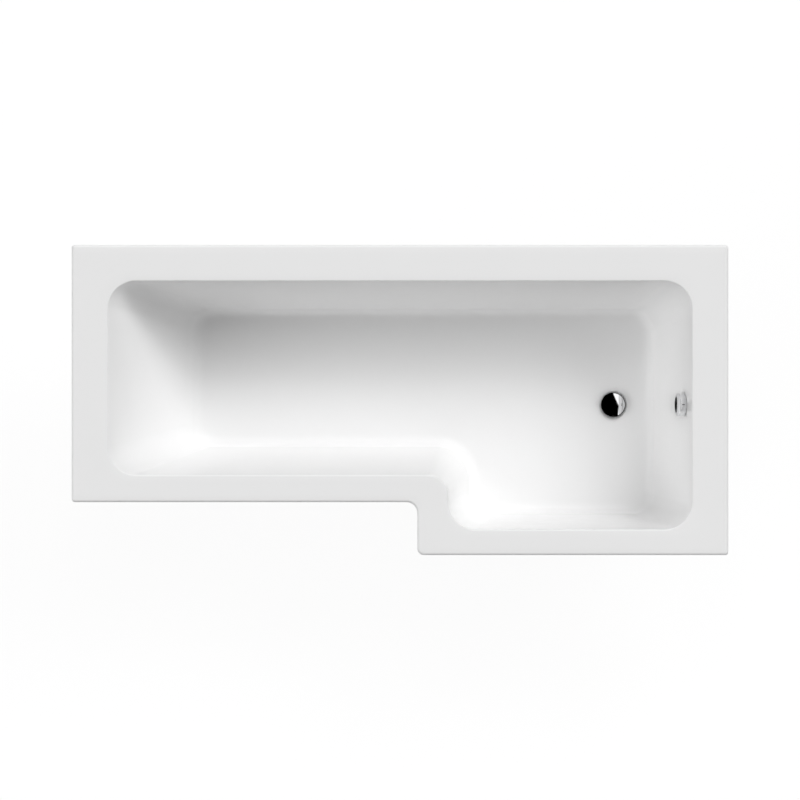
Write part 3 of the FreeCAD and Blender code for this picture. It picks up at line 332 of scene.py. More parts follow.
# Cast acrylic, gloss white: a clean, slightly soft reflection over a bright body. The faint waviness of a
# drawn sheet, about 60 mm from crest to crest, and a light film of wiping keep it from looking like glass.
cast_acrylic, tree, coords = new_material("cast_acrylic")
cloud = add(tree, "TexNoise", {"Vector": coords, "Scale": per(180), "Detail": 2.0})
tint = add(tree, "Mix", {0: cloud, 6: "#fdfdfd", 7: "#fbfbfb"}, data_type="RGBA")
film = add(tree, "TexNoise", {"Vector": coords, "Scale": per(35), "Detail": 4.0})
gloss = add(tree, "MapRange", {"Value": film, "To Min": 0.10, "To Max": 0.17})
wave = grained(tree, coords, size=60, detail=1.0, strength=0.15, height=0.2)
skin = add(tree, "BsdfPrincipled", {
    "Base Color": tint.outputs[2], "Roughness": gloss, "Normal": wave, "IOR": 1.49,
})
add(tree, "OutputMaterial", {"Surface": skin})
fit_piece(acrylic_shell, cast_acrylic, "bath_shell")

# Glass laminate. Chopped glass strands and polyester resin are sprayed on the back of the formed shell and
# rolled down by hand, over the well and out under the rim. It sets hard, with an uneven, fibrous face.

BOND = 0.3
LAMINATE = 3.0
LAMINATE_INSIDE = SHEET + BOND
LAMINATE_OUTSIDE = LAMINATE_INSIDE + LAMINATE
LAMINATE_HOLE = BOSS + BOND
ROLLED_AWAY = 0.2
ROLL_WAVES = np.array([31.0, 37.0, 29.0])
ROLL_BENDS = np.array([47.0, 53.0, 61.0])


def laminate_face(growth):
    """Rings over one face of the laminate, from the waste's hole up the well and out under the rim."""
    well = well_rings(growth, 0.0)
    hole = waste_rings(well[0], [LAMINATE_HOLE], [FLOOR_TOP - growth])
    rim = rim_rings([LAMINATE_INSIDE], [RIM_TOP - growth])
    return np.concatenate([
        hole, between(hole[0], well[0], FLOOR_RINGS), well, between(well[-1], rim[0], count=4), rim,
    ])


def hand_rolled(inner, outer):
    """The outer face drawn in by up to a share of the thickness. The share is the mean of three sines, one
    of each coordinate, each bent by a sine of the next coordinate, so that no two hollows are alike."""
    bends = 2 * np.sin(np.roll(outer, -1, axis=-1) / ROLL_BENDS)
    waves = np.sin(outer / ROLL_WAVES + bends).mean(axis=-1)
    share = ROLLED_AWAY * (1 + waves) / 2
    return outer + (inner - outer) * share[..., None]


laminate_inner = laminate_face(LAMINATE_INSIDE)
laminate_outer = hand_rolled(laminate_inner, laminate_face(LAMINATE_OUTSIDE))
laminate_skin = make_object(
    "laminate_skin", [np.concatenate([laminate_inner, laminate_outer[::-1]])], wrap=True
)
combine(laminate_skin, overflow_drill)

# Chopped-strand laminate: cream resin over a felt of glass strands, about 35 mm long and drawn 1.6 mm wide
# so that they show, lying every way. The resin is half glossy and the strands stand a little proud of it.
STRAND_LONG = 35 * MM
STRAND_WIDE = 1.6 * MM
STRAND_TURNS = [(0.3, 0.2, 0.1), (0.9, 0.4, 0.9), (0.2, 1.1, 1.7), (1.3, 0.7, 2.4), (0.6, 1.5, 3.0)]
chopped_strand, tree, coords = new_material("chopped_strand_laminate")
strands = 0.0
for lay in STRAND_TURNS:
    laid = add(tree, "Mapping", {
        "Vector": coords, "Rotation": lay, "Scale": (STRAND_LONG, STRAND_WIDE, STRAND_WIDE),
    }, vector_type="TEXTURE")
    felt = add(tree, "TexNoise", {"Vector": laid, "Scale": 1.0, "Detail": 1.0})
    strands = add(tree, "Math", {0: strands, 1: felt}, operation="MAXIMUM")
proud = add(tree, "MapRange", {"Value": strands, "From Min": 0.55, "From Max": 0.8})
pool = add(tree, "TexNoise", {"Vector": coords, "Scale": per(70), "Detail": 3.0})
resin = add(tree, "Mix", {0: pool, 6: "#cfcbb8", 7: "#e0ddcf"}, data_type="RGBA")
fibre = add(tree, "Mix", {0: proud, 6: resin.outputs[2], 7: "#f0efe8"}, data_type="RGBA")
wet = add(tree, "MapRange", {"Value": pool, "To Min": 0.3, "To Max": 0.55})
weave = add(tree, "Bump", {"Height": proud, "Strength": 0.5, "Distance": 0.4 * MM})
skin = add(tree, "BsdfPrincipled", {
    "Base Color": fibre.outputs[2], "Roughness": wet, "Normal": weave, "IOR": 1.55,
})
add(tree, "OutputMaterial", {"Surface": skin})
fit_piece(laminate_skin, chopped_strand, "fibreglass_backing")

# Baseboard. A flat sheet of chipboard, sawn to an L, is bedded in the wet laminate under the floor of the
# well. It spreads the load and takes the screws of the leg frames. The pressed solid has its shape.


def finish_nodes(names, material):
    """Gives pressed and moulded solids whose shape is right their finish."""
    for name in names:
        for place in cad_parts[name].material_slots:
            place.material = material


# Chipboard: flat flakes of wood, 4 to 10 mm across, pressed in layers with glue. The faces show every tone
# from straw to brown, with dark glue between the flakes, and the surface is dry and matt.
FLAKE = (8 * MM, 4.5 * MM, 1.5 * MM)
FLAKE_TURN = (0.0, 0.0, 0.4)
FLAKE_BEND = 0.006
chipboard_flakes, tree, coords = new_material("pressed_chipboard")
warp = add(tree, "TexNoise", {"Vector": coords, "Scale": per(9), "Detail": 2.0})
bent = add(tree, "Mix", {0: FLAKE_BEND, 4: coords, 5: warp.outputs["Color"]}, data_type="VECTOR")
flat = add(tree, "Mapping", {
    "Vector": bent.outputs[1], "Rotation": FLAKE_TURN, "Scale": FLAKE,
}, vector_type="TEXTURE")
flake = add(tree, "TexVoronoi", {"Vector": flat, "Scale": 1.0})
tone = add(tree, "SeparateColor", {"Color": flake.outputs["Color"]})
straw = add(tree, "Mix", {0: tone.outputs[0], 6: "#b3925f", 7: "#cfb182"}, data_type="RGBA")
glue = add(tree, "MapRange", {"Value": flake.outputs["Distance"], "From Min": 0.45, "From Max": 0.9})
board = add(tree, "Mix", {0: glue, 6: straw.outputs[2], 7: "#9a7a4e"}, data_type="RGBA")
press = add(tree, "Bump", {
    "Height": flake.outputs["Distance"], "Strength": 0.35, "Distance": 0.4 * MM,
}, invert=True)
dry = add(tree, "MapRange", {"Value": tone.outputs[1], "To Min": 0.7, "To Max": 0.9})
face = add(tree, "BsdfPrincipled", {"Base Color": board.outputs[2], "Roughness": dry, "Normal": press})
add(tree, "OutputMaterial", {"Surface": face})
finish_nodes(["baseboard"], chipboard_flakes)

# Rim battens. Three planed strips of softwood are glassed in under the rim, one behind and two in front, so
# that the rim doesn't sag and the wall brackets have wood to bite. The sawn solids have their shape.

# Planed pine: growth rings 4 mm apart, which run the length of the strip with pale early wood and amber
# late wood, and fine pores.
RING_SPACING = 4.0
GRAIN_STRETCH = (0.06, 1.0, 1.0)
WAVE_PERIOD = np.pi / 10
planed_pine, tree, coords = new_material("planed_pine")
along = add(tree, "Mapping", {"Vector": coords, "Scale": GRAIN_STRETCH})
years = add(tree, "TexWave", {
    "Vector": along, "Scale": WAVE_PERIOD * per(RING_SPACING), "Distortion": 2.5, "Detail": 2.0,
    "Detail Scale": 0.6,
}, wave_type="BANDS", bands_direction="DIAGONAL", wave_profile="SAW")
pores = add(tree, "TexNoise", {"Vector": along, "Scale": per(0.9), "Detail": 2.0})
early = add(tree, "Mix", {0: years.outputs["Fac"], 6: "#dcbd8d", 7: "#b98c55"}, data_type="RGBA")
grain = add(tree, "Mix", {0: pores, 6: early.outputs[2], 7: "#e6cda3"}, data_type="RGBA")
planing = add(tree, "Bump", {"Height": years.outputs["Fac"], "Strength": 0.15, "Distance": 0.15 * MM})
timber = add(tree, "BsdfPrincipled", {"Base Color": grain.outputs[2], "Roughness": 0.65, "Normal": planing})
add(tree, "OutputMaterial", {"Surface": timber})
finish_nodes(["batten_back", "batten_front", "batten_shower"], planed_pine)

# Leg frames. Two channels of pressed steel lie across the board and a hat-shaped strap stands under its
# middle. All are zinc plated and screwed up into the chipboard. The folded solids have their shape.


def mottle(tree, coords, size, tones, gloss, detail=3.0, distortion=0.0, **surface):
    """Ends a material whose tone and roughness pass from one value to another in patches of a size in
    millimetres. Its surface may have further settings."""
    patches = add(tree, "TexNoise", {
        "Vector": coords, "Scale": per(size), "Detail": detail, "Distortion": distortion,
    })
    tint = add(tree, "Mix", {0: patches, 6: tones[0], 7: tones[1]}, data_type="RGBA")
    rough = add(tree, "MapRange", {"Value": patches, "To Min": gloss[0], "To Max": gloss[1]})
    face = add(tree, "BsdfPrincipled", {"Base Color": tint.outputs[2], "Roughness": rough, **surface})
    add(tree, "OutputMaterial", {"Surface": face})


# Zinc plate: bright grey with a faint blue cast, a cloudy lustre from the bath of zinc, and rolling lines
# 0.8 mm apart from the strip that the steel was cut from.
ROLLING = (per(0.8), per(40), per(0.8))
zinc_plate, tree, coords = new_material("zinc_plated_steel")
rolled = add(tree, "Mapping", {"Vector": coords, "Scale": ROLLING})
lines = add(tree, "TexNoise", {"Vector": rolled, "Scale": 1.0, "Detail": 2.0})
strip = add(tree, "Bump", {"Height": lines, "Strength": 0.12, "Distance": 0.05 * MM})
mottle(tree, coords, 14, ("#b4babf", "#d3d6d6"), (0.24, 0.42), detail=4.0, Metallic=1.0, Normal=strip)
finish_nodes(["leg_frame_head", "leg_frame_foot", "centre_leg_bracket"], zinc_plate)

# Legs. Five M10 rods with a rolled thread, each locked on its frame or on the strap between two hexagon
# nuts, and each standing in a moulded nylon foot with ribs round its hub. Turning a rod sets the height.

LEGS = {
    "head_back": (-394.0, 286.0), "head_front": (-394.0, -167.0), "foot_back": (390.0, 286.0),
    "foot_front": (390.0, -352.0), "centre": (-2.0, 59.5),
}
ROD = 5.0
ROD_FOOT = 6.0
ROD_TOP = 184.7
CENTRE_TOP = 126.7
ROD_PITCH = 1.5
ROD_DEPTH = 0.8
ROD_CHAMFER = 1.0
ROD_COLUMNS = 20
RINGS_A_TURN = 6
FRAME_SEAT = 146.7
STRAP_SEAT = 88.35
SHEET_STEEL = 2.0
NUT_FLATS = 17.0
NUT_HIGH = 8.0
NUT_TRIM = 0.09
NUT_FACE = 0.97
NUT_CHAMFER = 0.5
NUT_COLUMNS = 72
THREAD_GAP = 0.05


def threaded(radius, depth, pitch, heights, limits, columns=COLUMNS):
    """Rings of a rounded screw thread, r = R − d (1 − cos(2 pi z / pitch − a)) / 2, held inside limits."""
    angle = around(columns)
    height = heights[:, None]
    wave = (1 - np.cos(2 * np.pi * height / pitch - angle)) / 2
    return polar(np.minimum(radius - depth * wave, limits[:, None]), angle, height)


def threaded_rod(top):
    """A rod from its top to the sole of its foot: the thread with its ends cut to cones."""
    heights = np.linspace(top, ROD_FOOT, int((top - ROD_FOOT) / ROD_PITCH * RINGS_A_TURN))
    from_end = np.minimum(top - heights, heights - ROD_FOOT)
    thread = threaded(ROD, ROD_DEPTH, ROD_PITCH, heights, ROD - ROD_CHAMFER + from_end, ROD_COLUMNS)
    ends = turned([(0, top), (0, ROD_FOOT)], ROD_COLUMNS)
    return np.concatenate([ends[:1], thread, ends[1:]])


def hexagon_nut(flats, bore, low, high):
    """A six-sided nut, r = (flats / 2) / cos(angle from the middle of a flat), whose corners two cones of
    30 degrees trim at its ends."""
    angle = around(NUT_COLUMNS)
    sides = flats / 2 / np.cos(angle % (np.pi / 3) - np.pi / 6)
    from_end = np.linspace(0, 1, 5) * flats * NUT_TRIM
    levels = np.concatenate([high - from_end, low + from_end[::-1]])
    cones = flats / 2 * NUT_FACE + np.concatenate([from_end, from_end[::-1]]) * np.sqrt(3)
    outside = polar(np.minimum(sides, cones[:, None]), angle, levels[:, None])
    mouth = bore + NUT_CHAMFER
    inside = turned([
        (mouth, low), (bore, low + NUT_CHAMFER), (bore, high - NUT_CHAMFER), (mouth, high),
    ], NUT_COLUMNS)
    return np.concatenate([outside, inside])


ARC_POINTS = 6


def rounded(corners):
    """A closed profile of radii and heights whose corners, each given with a rounding, become arcs. An arc
    starts r / tan(half the corner's angle) from the corner, and its points turn evenly."""
    spots = np.array(corners, float)[:, :2]
    rounds = np.array(corners, float)[:, 2:]
    back = unit(np.roll(spots, 1, axis=0) - spots)
    ahead = unit(np.roll(spots, -1, axis=0) - spots)
    half = np.arccos(np.clip((back * ahead).sum(axis=1, keepdims=True), -1, 1)) / 2
    centres = spots + unit(back + ahead) * rounds / np.sin(half)
    start = spots + back * rounds / np.tan(half) - centres
    finish = spots + ahead * rounds / np.tan(half) - centres
    sweep = np.maximum(np.pi - 2 * half, 1e-6)[:, None]
    share = np.linspace(0, 1, ARC_POINTS)[None, :, None]
    arcs = start[:, None] * np.sin((1 - share) * sweep) + finish[:, None] * np.sin(share * sweep)
    return (centres[:, None] + arcs / np.sin(sweep)).reshape(-1, 2)


FOOT = 24.0
FOOT_RIM = 4.0
HUB = 10.0
HUB_TOP = 26.0
FLARE_TOP = 10.0
FLARE_LOW = 3.5
TOUCH = 0.01
FOOT_RIBS = 8
RIB_RISE = 5.0
RIB_FOOT = 0.5
RIB_FADE = 0.3
FOOT_COLUMNS = 128


def moulded_foot():
    """A flared foot turned about its rod, with ribs that rise on the flare towards the hub: height gains
    rise · (1 − share of the way out) where cos(ribs · angle) is near 1."""
    flare = np.linspace(0, 1, 12)[1:-1]
    slope = [(HUB + (FOOT - HUB) * share, FLARE_TOP + (FOOT_RIM - FLARE_TOP) * share, 0) for share in flare]
    profile = rounded([
        (ROD + THREAD_GAP, HUB_TOP, 0.6), (HUB, HUB_TOP, 1.2), (HUB, FLARE_TOP, 0), *slope,
        (FOOT, FOOT_RIM, 1.5), (FOOT, 0, 0.8), (0, 0, 0), (0, ROD_FOOT, 0), (ROD + THREAD_GAP, ROD_FOOT, 0),
    ])
    foot = turned(profile, FOOT_COLUMNS)
    reach = np.hypot(foot[..., 0], foot[..., 1])
    angle = np.arctan2(foot[..., 1], foot[..., 0])
    rib = np.clip((np.cos(FOOT_RIBS * angle) - RIB_FOOT) / RIB_FADE, 0, 1)
    way_out = np.clip((reach - HUB) / (FOOT - HUB), 0, 1)
    height = foot[..., 2]
    on_flare = (height > FLARE_LOW) & (height <= FLARE_TOP + TOUCH) & (reach > HUB - TOUCH)
    foot[..., 2] += np.where(on_flare, RIB_RISE * rib * (1 - way_out), 0)
    return foot


# Glass-filled nylon: black, a spark-eroded grain about 0.6 mm across from its mould, and a dull sheen.
black_nylon, tree, coords = new_material("glass_filled_nylon")
spark = grained(tree, coords, size=0.6, detail=3.0, strength=0.25, height=0.1)
mottle(tree, coords, 11, ("#161617", "#2a2a2c"), (0.38, 0.6), Normal=spark, IOR=1.53)

nuts = []
for leg, (x, y) in LEGS.items():
    top, seat = (CENTRE_TOP, STRAP_SEAT) if leg == "centre" else (ROD_TOP, FRAME_SEAT)
    rod = make_object(f"rod_{leg}", [threaded_rod(top) + (x, y, 0)], crease=80)
    foot = make_object(f"foot_{leg}", [moulded_foot() + (x, y, 0)], wrap=True)
    fit_piece(rod, zinc_plate, f"leg_rod_{leg}", f"leg_{leg}")
    fit_piece(foot, black_nylon, f"foot_pad_{leg}", f"leg_{leg}")
    for low in (seat, seat - SHEET_STEEL - NUT_HIGH):
        nuts.append(hexagon_nut(NUT_FLATS, ROD + THREAD_GAP, low, low + NUT_HIGH) + (x, y, 0))
lock_nuts = make_object("lock_nuts", nuts, wrap=True, crease=20)
fit_piece(lock_nuts, zinc_plate, "leg_nuts")

# Wood screws. Pan heads with a cross recess and a sharp rolled thread, zinc plated. Six hold the frames and
# the strap to the board, and two hold the wall brackets to the back batten. All are driven upwards.

FRAME_SCREWS = [
    (-394.0, 161.0), (-394.0, -42.0), (390.0, 161.0), (390.0, -227.0), (-45.0, 59.5), (41.0, 59.5),
]
WALL_SCREWS = [(-450.0, 394.0), (450.0, 394.0)]
FRAME_SCREW_SEAT = 144.7
WALL_SCREW_SEAT = 531.7
SHANK = 2.2
SHANK_LENGTH = 12.0
SHANK_TIP = 3.0
SHANK_PITCH = 1.8
SHANK_DEPTH = 0.6
SHANK_POINT = 0.3
HEAD = 4.5
HEAD_HIGH = 2.5
HEAD_FALL = 0.6
RECESS_ARM = 0.65
RECESS_REACH = 2.5
RECESS_SINK = 1.4
RECESS_SLOPES = (0.2, 0.4)
SCREW_COLUMNS = 48


def wood_screw():
    """A screw with its seat at zero and its point up: the thread narrows to a point, and the head is a
    shallow dome, z = −h (1 − fall (r / R)^2), sunk where either side of a cross lies within its arm."""
    heights = np.linspace(SHANK_LENGTH, 0, 60)
    point = SHANK_POINT + (SHANK_LENGTH - heights) / SHANK_TIP * (SHANK - SHANK_POINT)
    shank = threaded(SHANK, SHANK_DEPTH, SHANK_PITCH, heights, point, SCREW_COLUMNS)
    tip = turned([(0, SHANK_LENGTH)], SCREW_COLUMNS)
    seat_edge = turned([(HEAD, 0)], SCREW_COLUMNS)
    reach = HEAD * np.linspace(1, 0, 28)
    dome = -HEAD_HIGH * (1 - HEAD_FALL * (reach / HEAD) ** 2)
    head = turned(np.stack([reach, dome], axis=-1), SCREW_COLUMNS)
    sides = np.sort(np.abs(head[..., :2]), axis=-1)
    arm = np.clip(((RECESS_ARM, RECESS_REACH) - sides) / RECESS_SLOPES + 0.5, 0, 1).prod(axis=-1)
    head[..., 2] += RECESS_SINK * arm
    return np.concatenate([tip, shank, seat_edge, head])


for label, places, seat, node in (
    ("frame_fixings", FRAME_SCREWS, FRAME_SCREW_SEAT, "frame_screws"),
    ("wall_fixings", WALL_SCREWS, WALL_SCREW_SEAT, "wall_bracket_screws"),
):
    fixings = make_object(label, [wood_screw() + (x, y, seat) for x, y in places])
    fit_piece(fixings, zinc_plate, node)

# Wall brackets. Two straps of zinc-plated steel, folded to a Z and drilled, hang under the back batten and
# lie flat on the wall behind the bath. The folded solids have their shape.
finish_nodes(["wall_bracket_head", "wall_bracket_foot"], zinc_plate)

# Waste. A chromed brass outlet with a dished flange and a cross inside for the plug. Its slotted tail goes
# through a foam washer, the floor, a rubber washer and a plastic ring, which a plastic nut draws up.

FLANGE = 35.0
FLANGE_LAND = 34.5
FLANGE_UNDER = 168.0
FLANGE_SIDE = 171.0
FLANGE_TOP = 172.0
DISH = 32.5
DISH_DEPTH = 2.5
TAIL = 23.9
TAIL_BORE = 20.5
TAIL_END = 75.0
TAIL_PITCH = 2.309
TAIL_DEPTH = 1.2
TAIL_CHAMFER = 0.3
RELIEF_TOP = 114.0
RELIEF_END = 112.5
RELIEF = 23.4
SPIDER_TOP = 162.0
SPIDER_UNDER = 156.0
SPIDER_ARM = 2.0
SPIDER_BOSS = 9.0
SPIDER_HOLE = 6.95
SPIDER_REACH = 22.0
SLOT_HEIGHT = 141.0
SLOT_WIDE = 14.0
SLOT_HIGH = 12.0
BACKNUT_UNDER = 114.0
BACKNUT_TOP = 126.0
BACKNUT_FLATS = 62.0
AT_WASTE = (WASTE[0], WASTE[1], 0.0)


def box_rings(low, high):
    """A box as rings: its top's middle and corners, then its bottom's corners and middle."""
    corners = np.array([[high[0], high[1]], [low[0], high[1]], [low[0], low[1]], [high[0], low[1]]])
    middle = np.broadcast_to(corners.mean(axis=0), (4, 2))
    flat = np.stack([middle, corners, corners, middle])
    level = np.array([high[2], high[2], low[2], low[2]])[:, None, None] * np.ones((1, 4, 1))
    return np.concatenate([flat, level], axis=-1)


def waste_outlet():
    """The flange and bore, turned about one axis, and the tail's thread from its relief to its end."""
    upper = rounded([
        (TAIL_BORE, FLANGE_TOP - DISH_DEPTH, 0.8), (DISH, FLANGE_TOP, 0.3), (FLANGE_LAND, FLANGE_TOP, 0.4),
        (FLANGE, FLANGE_SIDE, 0.4), (FLANGE, FLANGE_UNDER, 0.2), (TAIL, FLANGE_UNDER, 0),
        (TAIL, RELIEF_TOP, 0), (RELIEF, RELIEF_TOP, 0), (RELIEF, RELIEF_END, 0), (TAIL_BORE, RELIEF_END, 0),
    ])[:-ARC_POINTS]
    heights = np.linspace(RELIEF_END, TAIL_END, 200)
    limits = TAIL - TAIL_DEPTH + np.minimum(RELIEF_END - heights, heights - TAIL_END)
    thread = threaded(TAIL, TAIL_DEPTH, TAIL_PITCH, heights, limits)
    lower = [(TAIL_BORE + TAIL_CHAMFER, TAIL_END), (TAIL_BORE, TAIL_END + TAIL_CHAMFER)]
    return np.concatenate([turned(upper), thread, turned(lower)])


def spider():
    """A cross with a round boss and a hole: r is the larger of the boss and, within an arm, the lesser of
    the arm's half width / sin and the reach / cos of the angle from the arm."""
    corner = np.arctan2(SPIDER_ARM, SPIDER_REACH)
    root = np.arcsin(SPIDER_ARM / SPIDER_BOSS)
    quarter = np.concatenate([[-root, -corner, corner], np.linspace(root, np.pi / 2 - root, 12)[:-1]])
    angle = (quarter + np.arange(4)[:, None] * np.pi / 2).ravel()
    off = (angle + np.pi / 4) % (np.pi / 2) - np.pi / 4
    arm = np.minimum(SPIDER_ARM / np.maximum(np.abs(np.sin(off)), 1e-6), SPIDER_REACH / np.cos(off))
    reach = np.stack([np.full_like(angle, SPIDER_HOLE), np.maximum(SPIDER_BOSS, arm)])[[0, 1, 1, 0]]
    level = np.array([SPIDER_TOP, SPIDER_TOP, SPIDER_UNDER, SPIDER_UNDER])
    return polar(reach, angle, level[:, None])


outlet = make_object("waste_outlet", [waste_outlet() + AT_WASTE], wrap=True, crease=60)
combine(outlet, spider() + AT_WASTE, "UNION", wrap=True)
for half_x, half_y in ((TAIL * 2, SLOT_WIDE / 2), (SLOT_WIDE / 2, TAIL * 2)):
    half = np.array([half_x, half_y, SLOT_HIGH / 2])
    middle = np.array([WASTE[0], WASTE[1], SLOT_HEIGHT])
    combine(outlet, box_rings(middle - half, middle + half))
backnut = make_object(
    "tail_nut", [hexagon_nut(BACKNUT_FLATS, TAIL + THREAD_GAP, BACKNUT_UNDER, BACKNUT_TOP) + AT_WASTE],
    wrap=True, crease=20,
)

# Chrome plate on brass: a clear, cool mirror. A trace of haze and drying marks, 15 mm across, softens it.
chrome_plate, tree, coords = new_material("chrome_plated_brass")
mottle(tree, coords, 15, ("#e3e4e6", "#efeff0"), (0.03, 0.1), detail=4.0, Metallic=1.0)

# Closed-cell foam: pale grey and dry, with cells about 0.9 mm across. Each cell is painted darker towards
# its middle, a painted shade that makes it show as a tiny pit.
cell_foam, tree, coords = new_material("closed_cell_foam")
cells = add(tree, "TexVoronoi", {"Vector": coords, "Scale": per(0.9)})
# Painted shade: each cell is darker towards its middle, as if shaded in a pit.
painted_pit_shade = add(tree, "Mix", {0: cells.outputs["Distance"], 6: "#b5b5b2", 7: "#dcdcd9"}, data_type="RGBA")
puff = add(tree, "Bump", {
    "Height": cells.outputs["Distance"], "Strength": 0.5, "Distance": 0.2 * MM,
}, invert=True)
foam = add(tree, "BsdfPrincipled", {"Base Color": painted_pit_shade.outputs[2], "Roughness": 0.9, "Normal": puff})
add(tree, "OutputMaterial", {"Surface": foam})

# Nitrile rubber: black, with a pale bloom in patches about 8 mm across and no gloss.
black_rubber, tree, coords = new_material("nitrile_rubber")
mottle(tree, coords, 8, ("#101010", "#2b2b2a"), (0.6, 0.85), detail=4.0, IOR=1.52)

# Moulded polypropylene: milky white with a soft shine and faint flow marks about 20 mm long.
white_moulding, tree, coords = new_material("moulded_polypropylene")
mould = grained(tree, coords, size=0.8, detail=2.0, strength=0.1, height=0.05)
mottle(tree, coords, 20, ("#e4e4e0", "#f1f1ee"), (0.28, 0.42), distortion=1.5, Normal=mould)

fit_piece(outlet, chrome_plate, "waste_body")
fit_piece(backnut, white_moulding, "waste_backnut")
finish_nodes(["waste_foam_washer"], cell_foam)
finish_nodes(["waste_lower_washer"], black_rubber)
finish_nodes(["overflow_banjo"], white_moulding)

# Click plug. A chromed cap stands open over the dish on a brass stem, with a rubber ring that seals when it
# is pushed down. The stem slides on a coil spring in a brass sleeve screwed into the cross.

CAP = 33.6
CAP_BRIM = 2.2
CAP_LOW = 181.07
CAP_EDGE = 183.57
CAP_CROWN = 188.77
DOME_SHARE = 0.97
CAP_UNDER = 182.57
CAP_LIP = 2.0
CAP_HUB = 7.0
CAP_HUB_LOW = 177.57
STEM_HOLE = 3.05
STEM_SOCKET = 184.57
SEAL_INNER = (24.0, 178.53)
SEAL_OUTER = (29.0, 179.57)
SPRING_LOW = 123.95
SPRING_TOP = 137.95
SPRING = 4.2
SPRING_WIRE = 0.45
SPRING_TURNS = 7
SPRING_POINTS = 40
EASED_TURNS = (0.6, 1.4)
EASE_LESS = 0.5


def plug_cap():
    """A turned cap: a dome of one sphere inside a flat brim, over a short skirt, a hub and its socket."""
    rise = CAP_CROWN - CAP_EDGE
    foot = CAP - CAP_BRIM
    sphere = (foot ** 2 + rise ** 2) / (2 * rise)
    reach = foot * np.linspace(0, DOME_SHARE, 24)
    dome = np.stack([reach, CAP_CROWN - sphere + np.sqrt(sphere ** 2 - reach ** 2), 0 * reach], axis=-1)
    return turned(rounded([
        *dome.tolist(), (foot, CAP_EDGE, 0), (CAP, CAP_EDGE, 0.3), (CAP, CAP_LOW, 0.6),
        (CAP - CAP_LIP, CAP_LOW, 0.5), (CAP - CAP_LIP, CAP_UNDER, 0.3), (CAP_HUB, CAP_UNDER, 1.0),
        (CAP_HUB, CAP_HUB_LOW, 0.5), (STEM_HOLE, CAP_HUB_LOW, 0.2), (STEM_HOLE, STEM_SOCKET, 0),
        (0, STEM_SOCKET, 0),
    ]))


def seal_ring():
    """A rubber ring turned about the waste's axis, with its under face sloped like the dish."""
    return turned(rounded([
        (SEAL_INNER[0], CAP_UNDER, 0.3), (SEAL_OUTER[0], CAP_UNDER, 0.3), (*SEAL_OUTER, 1.0),
        (*SEAL_INNER, 0.6),
    ]))


def swept(path, radii, upright, columns):
    """Rings carried along a path. Each stands square to the path, between the upright crossed with the
    path's direction and a line square to both."""
    way = unit(np.gradient(path, axis=0))
    side = unit(np.cross(upright, way))
    over = np.cross(side, way)
    angle = around(columns)[None, :, None]
    reach = np.asarray(radii, float)[:, None, None]
    return path[:, None] + reach * (np.cos(angle) * side[:, None] + np.sin(angle) * over[:, None])


def coil_spring():
    """A wire carried along a helix whose pitch eases to nearly the wire's thickness at both ends, so that
    the end turns lie closed."""
    turn = np.linspace(0, SPRING_TURNS, SPRING_TURNS * SPRING_POINTS + 1)
    slack = np.clip(np.minimum(turn, SPRING_TURNS - turn), *EASED_TURNS) - EASE_LESS
    climb = np.concatenate([[0], np.cumsum((slack[1:] + slack[:-1]) / 2)])
    low = SPRING_LOW + SPRING_WIRE
    height = low + (SPRING_TOP - SPRING_WIRE - low) * climb / climb[-1]
    path = polar(SPRING, 2 * np.pi * turn, height)
    rings = swept(path, np.full(len(turn), SPRING_WIRE), (0, 0, 1), columns=10)
    return np.concatenate([rings[:1] * 0 + path[0], rings, rings[:1] * 0 + path[-1]])


cap = make_object("domed_cap", [plug_cap() + AT_WASTE], wrap=True, crease=15)
seal = make_object("cap_seal", [seal_ring() + AT_WASTE], wrap=True)
spring = make_object("coil_spring", [coil_spring() + AT_WASTE], crease=60)

# Turned brass: yellow metal with fine tool lines 0.5 mm apart and a slight dulling in patches.
turned_brass, tree, coords = new_material("turned_brass")
lathe = add(tree, "TexWave", {"Vector": coords, "Scale": WAVE_PERIOD * per(0.5)}, bands_direction="Z")
tool = add(tree, "Bump", {"Height": lathe.outputs["Fac"], "Strength": 0.15, "Distance": 0.03 * MM})
mottle(tree, coords, 5, ("#b8924a", "#d9b872"), (0.2, 0.4), Metallic=1.0, Normal=tool)

# Drawn spring wire: bright steel, streaked by the die at about 0.3 mm.
spring_wire, tree, coords = new_material("drawn_spring_wire")
mottle(tree, coords, 0.3, ("#8f9193", "#bfc1c3"), (0.18, 0.35), detail=2.0, Metallic=1.0)

fit_piece(cap, chrome_plate, "plug_cap", "plug")
fit_piece(seal, black_rubber, "plug_seal", "plug")
fit_piece(spring, spring_wire, "click_spring")
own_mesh(spring)
finish_nodes(["click_stem", "click_sleeve"], turned_brass)

# Overflow. A chromed drum, open below through a notch and with a small hole for a grub screw on top, is
# pushed on the post of a white insert. The insert screws through the end wall into a plastic elbow behind
# it, with a foam ring in front of the wall and a rubber one behind.

DRUM = 31.0
DRUM_FACE = 20.0
DRUM_DOME = 1.5
FACE_SHARE = 0.85
DRUM_ROUND = 1.2
DRUM_WALL = 1.8
DRUM_GAP = 0.9
DRUM_INSIDE = 16.0
POST_SOCKET = 6.2
POST_SOCKET_LOW = 10.0
POST_HOLE = 4.55
NOTCH_WIDE = 34.0
NOTCH_TOP = 11.9
GRUB_HOLE = 1.7
GRUB_PLACE = 15.5
GRUB_SINK = 1.2


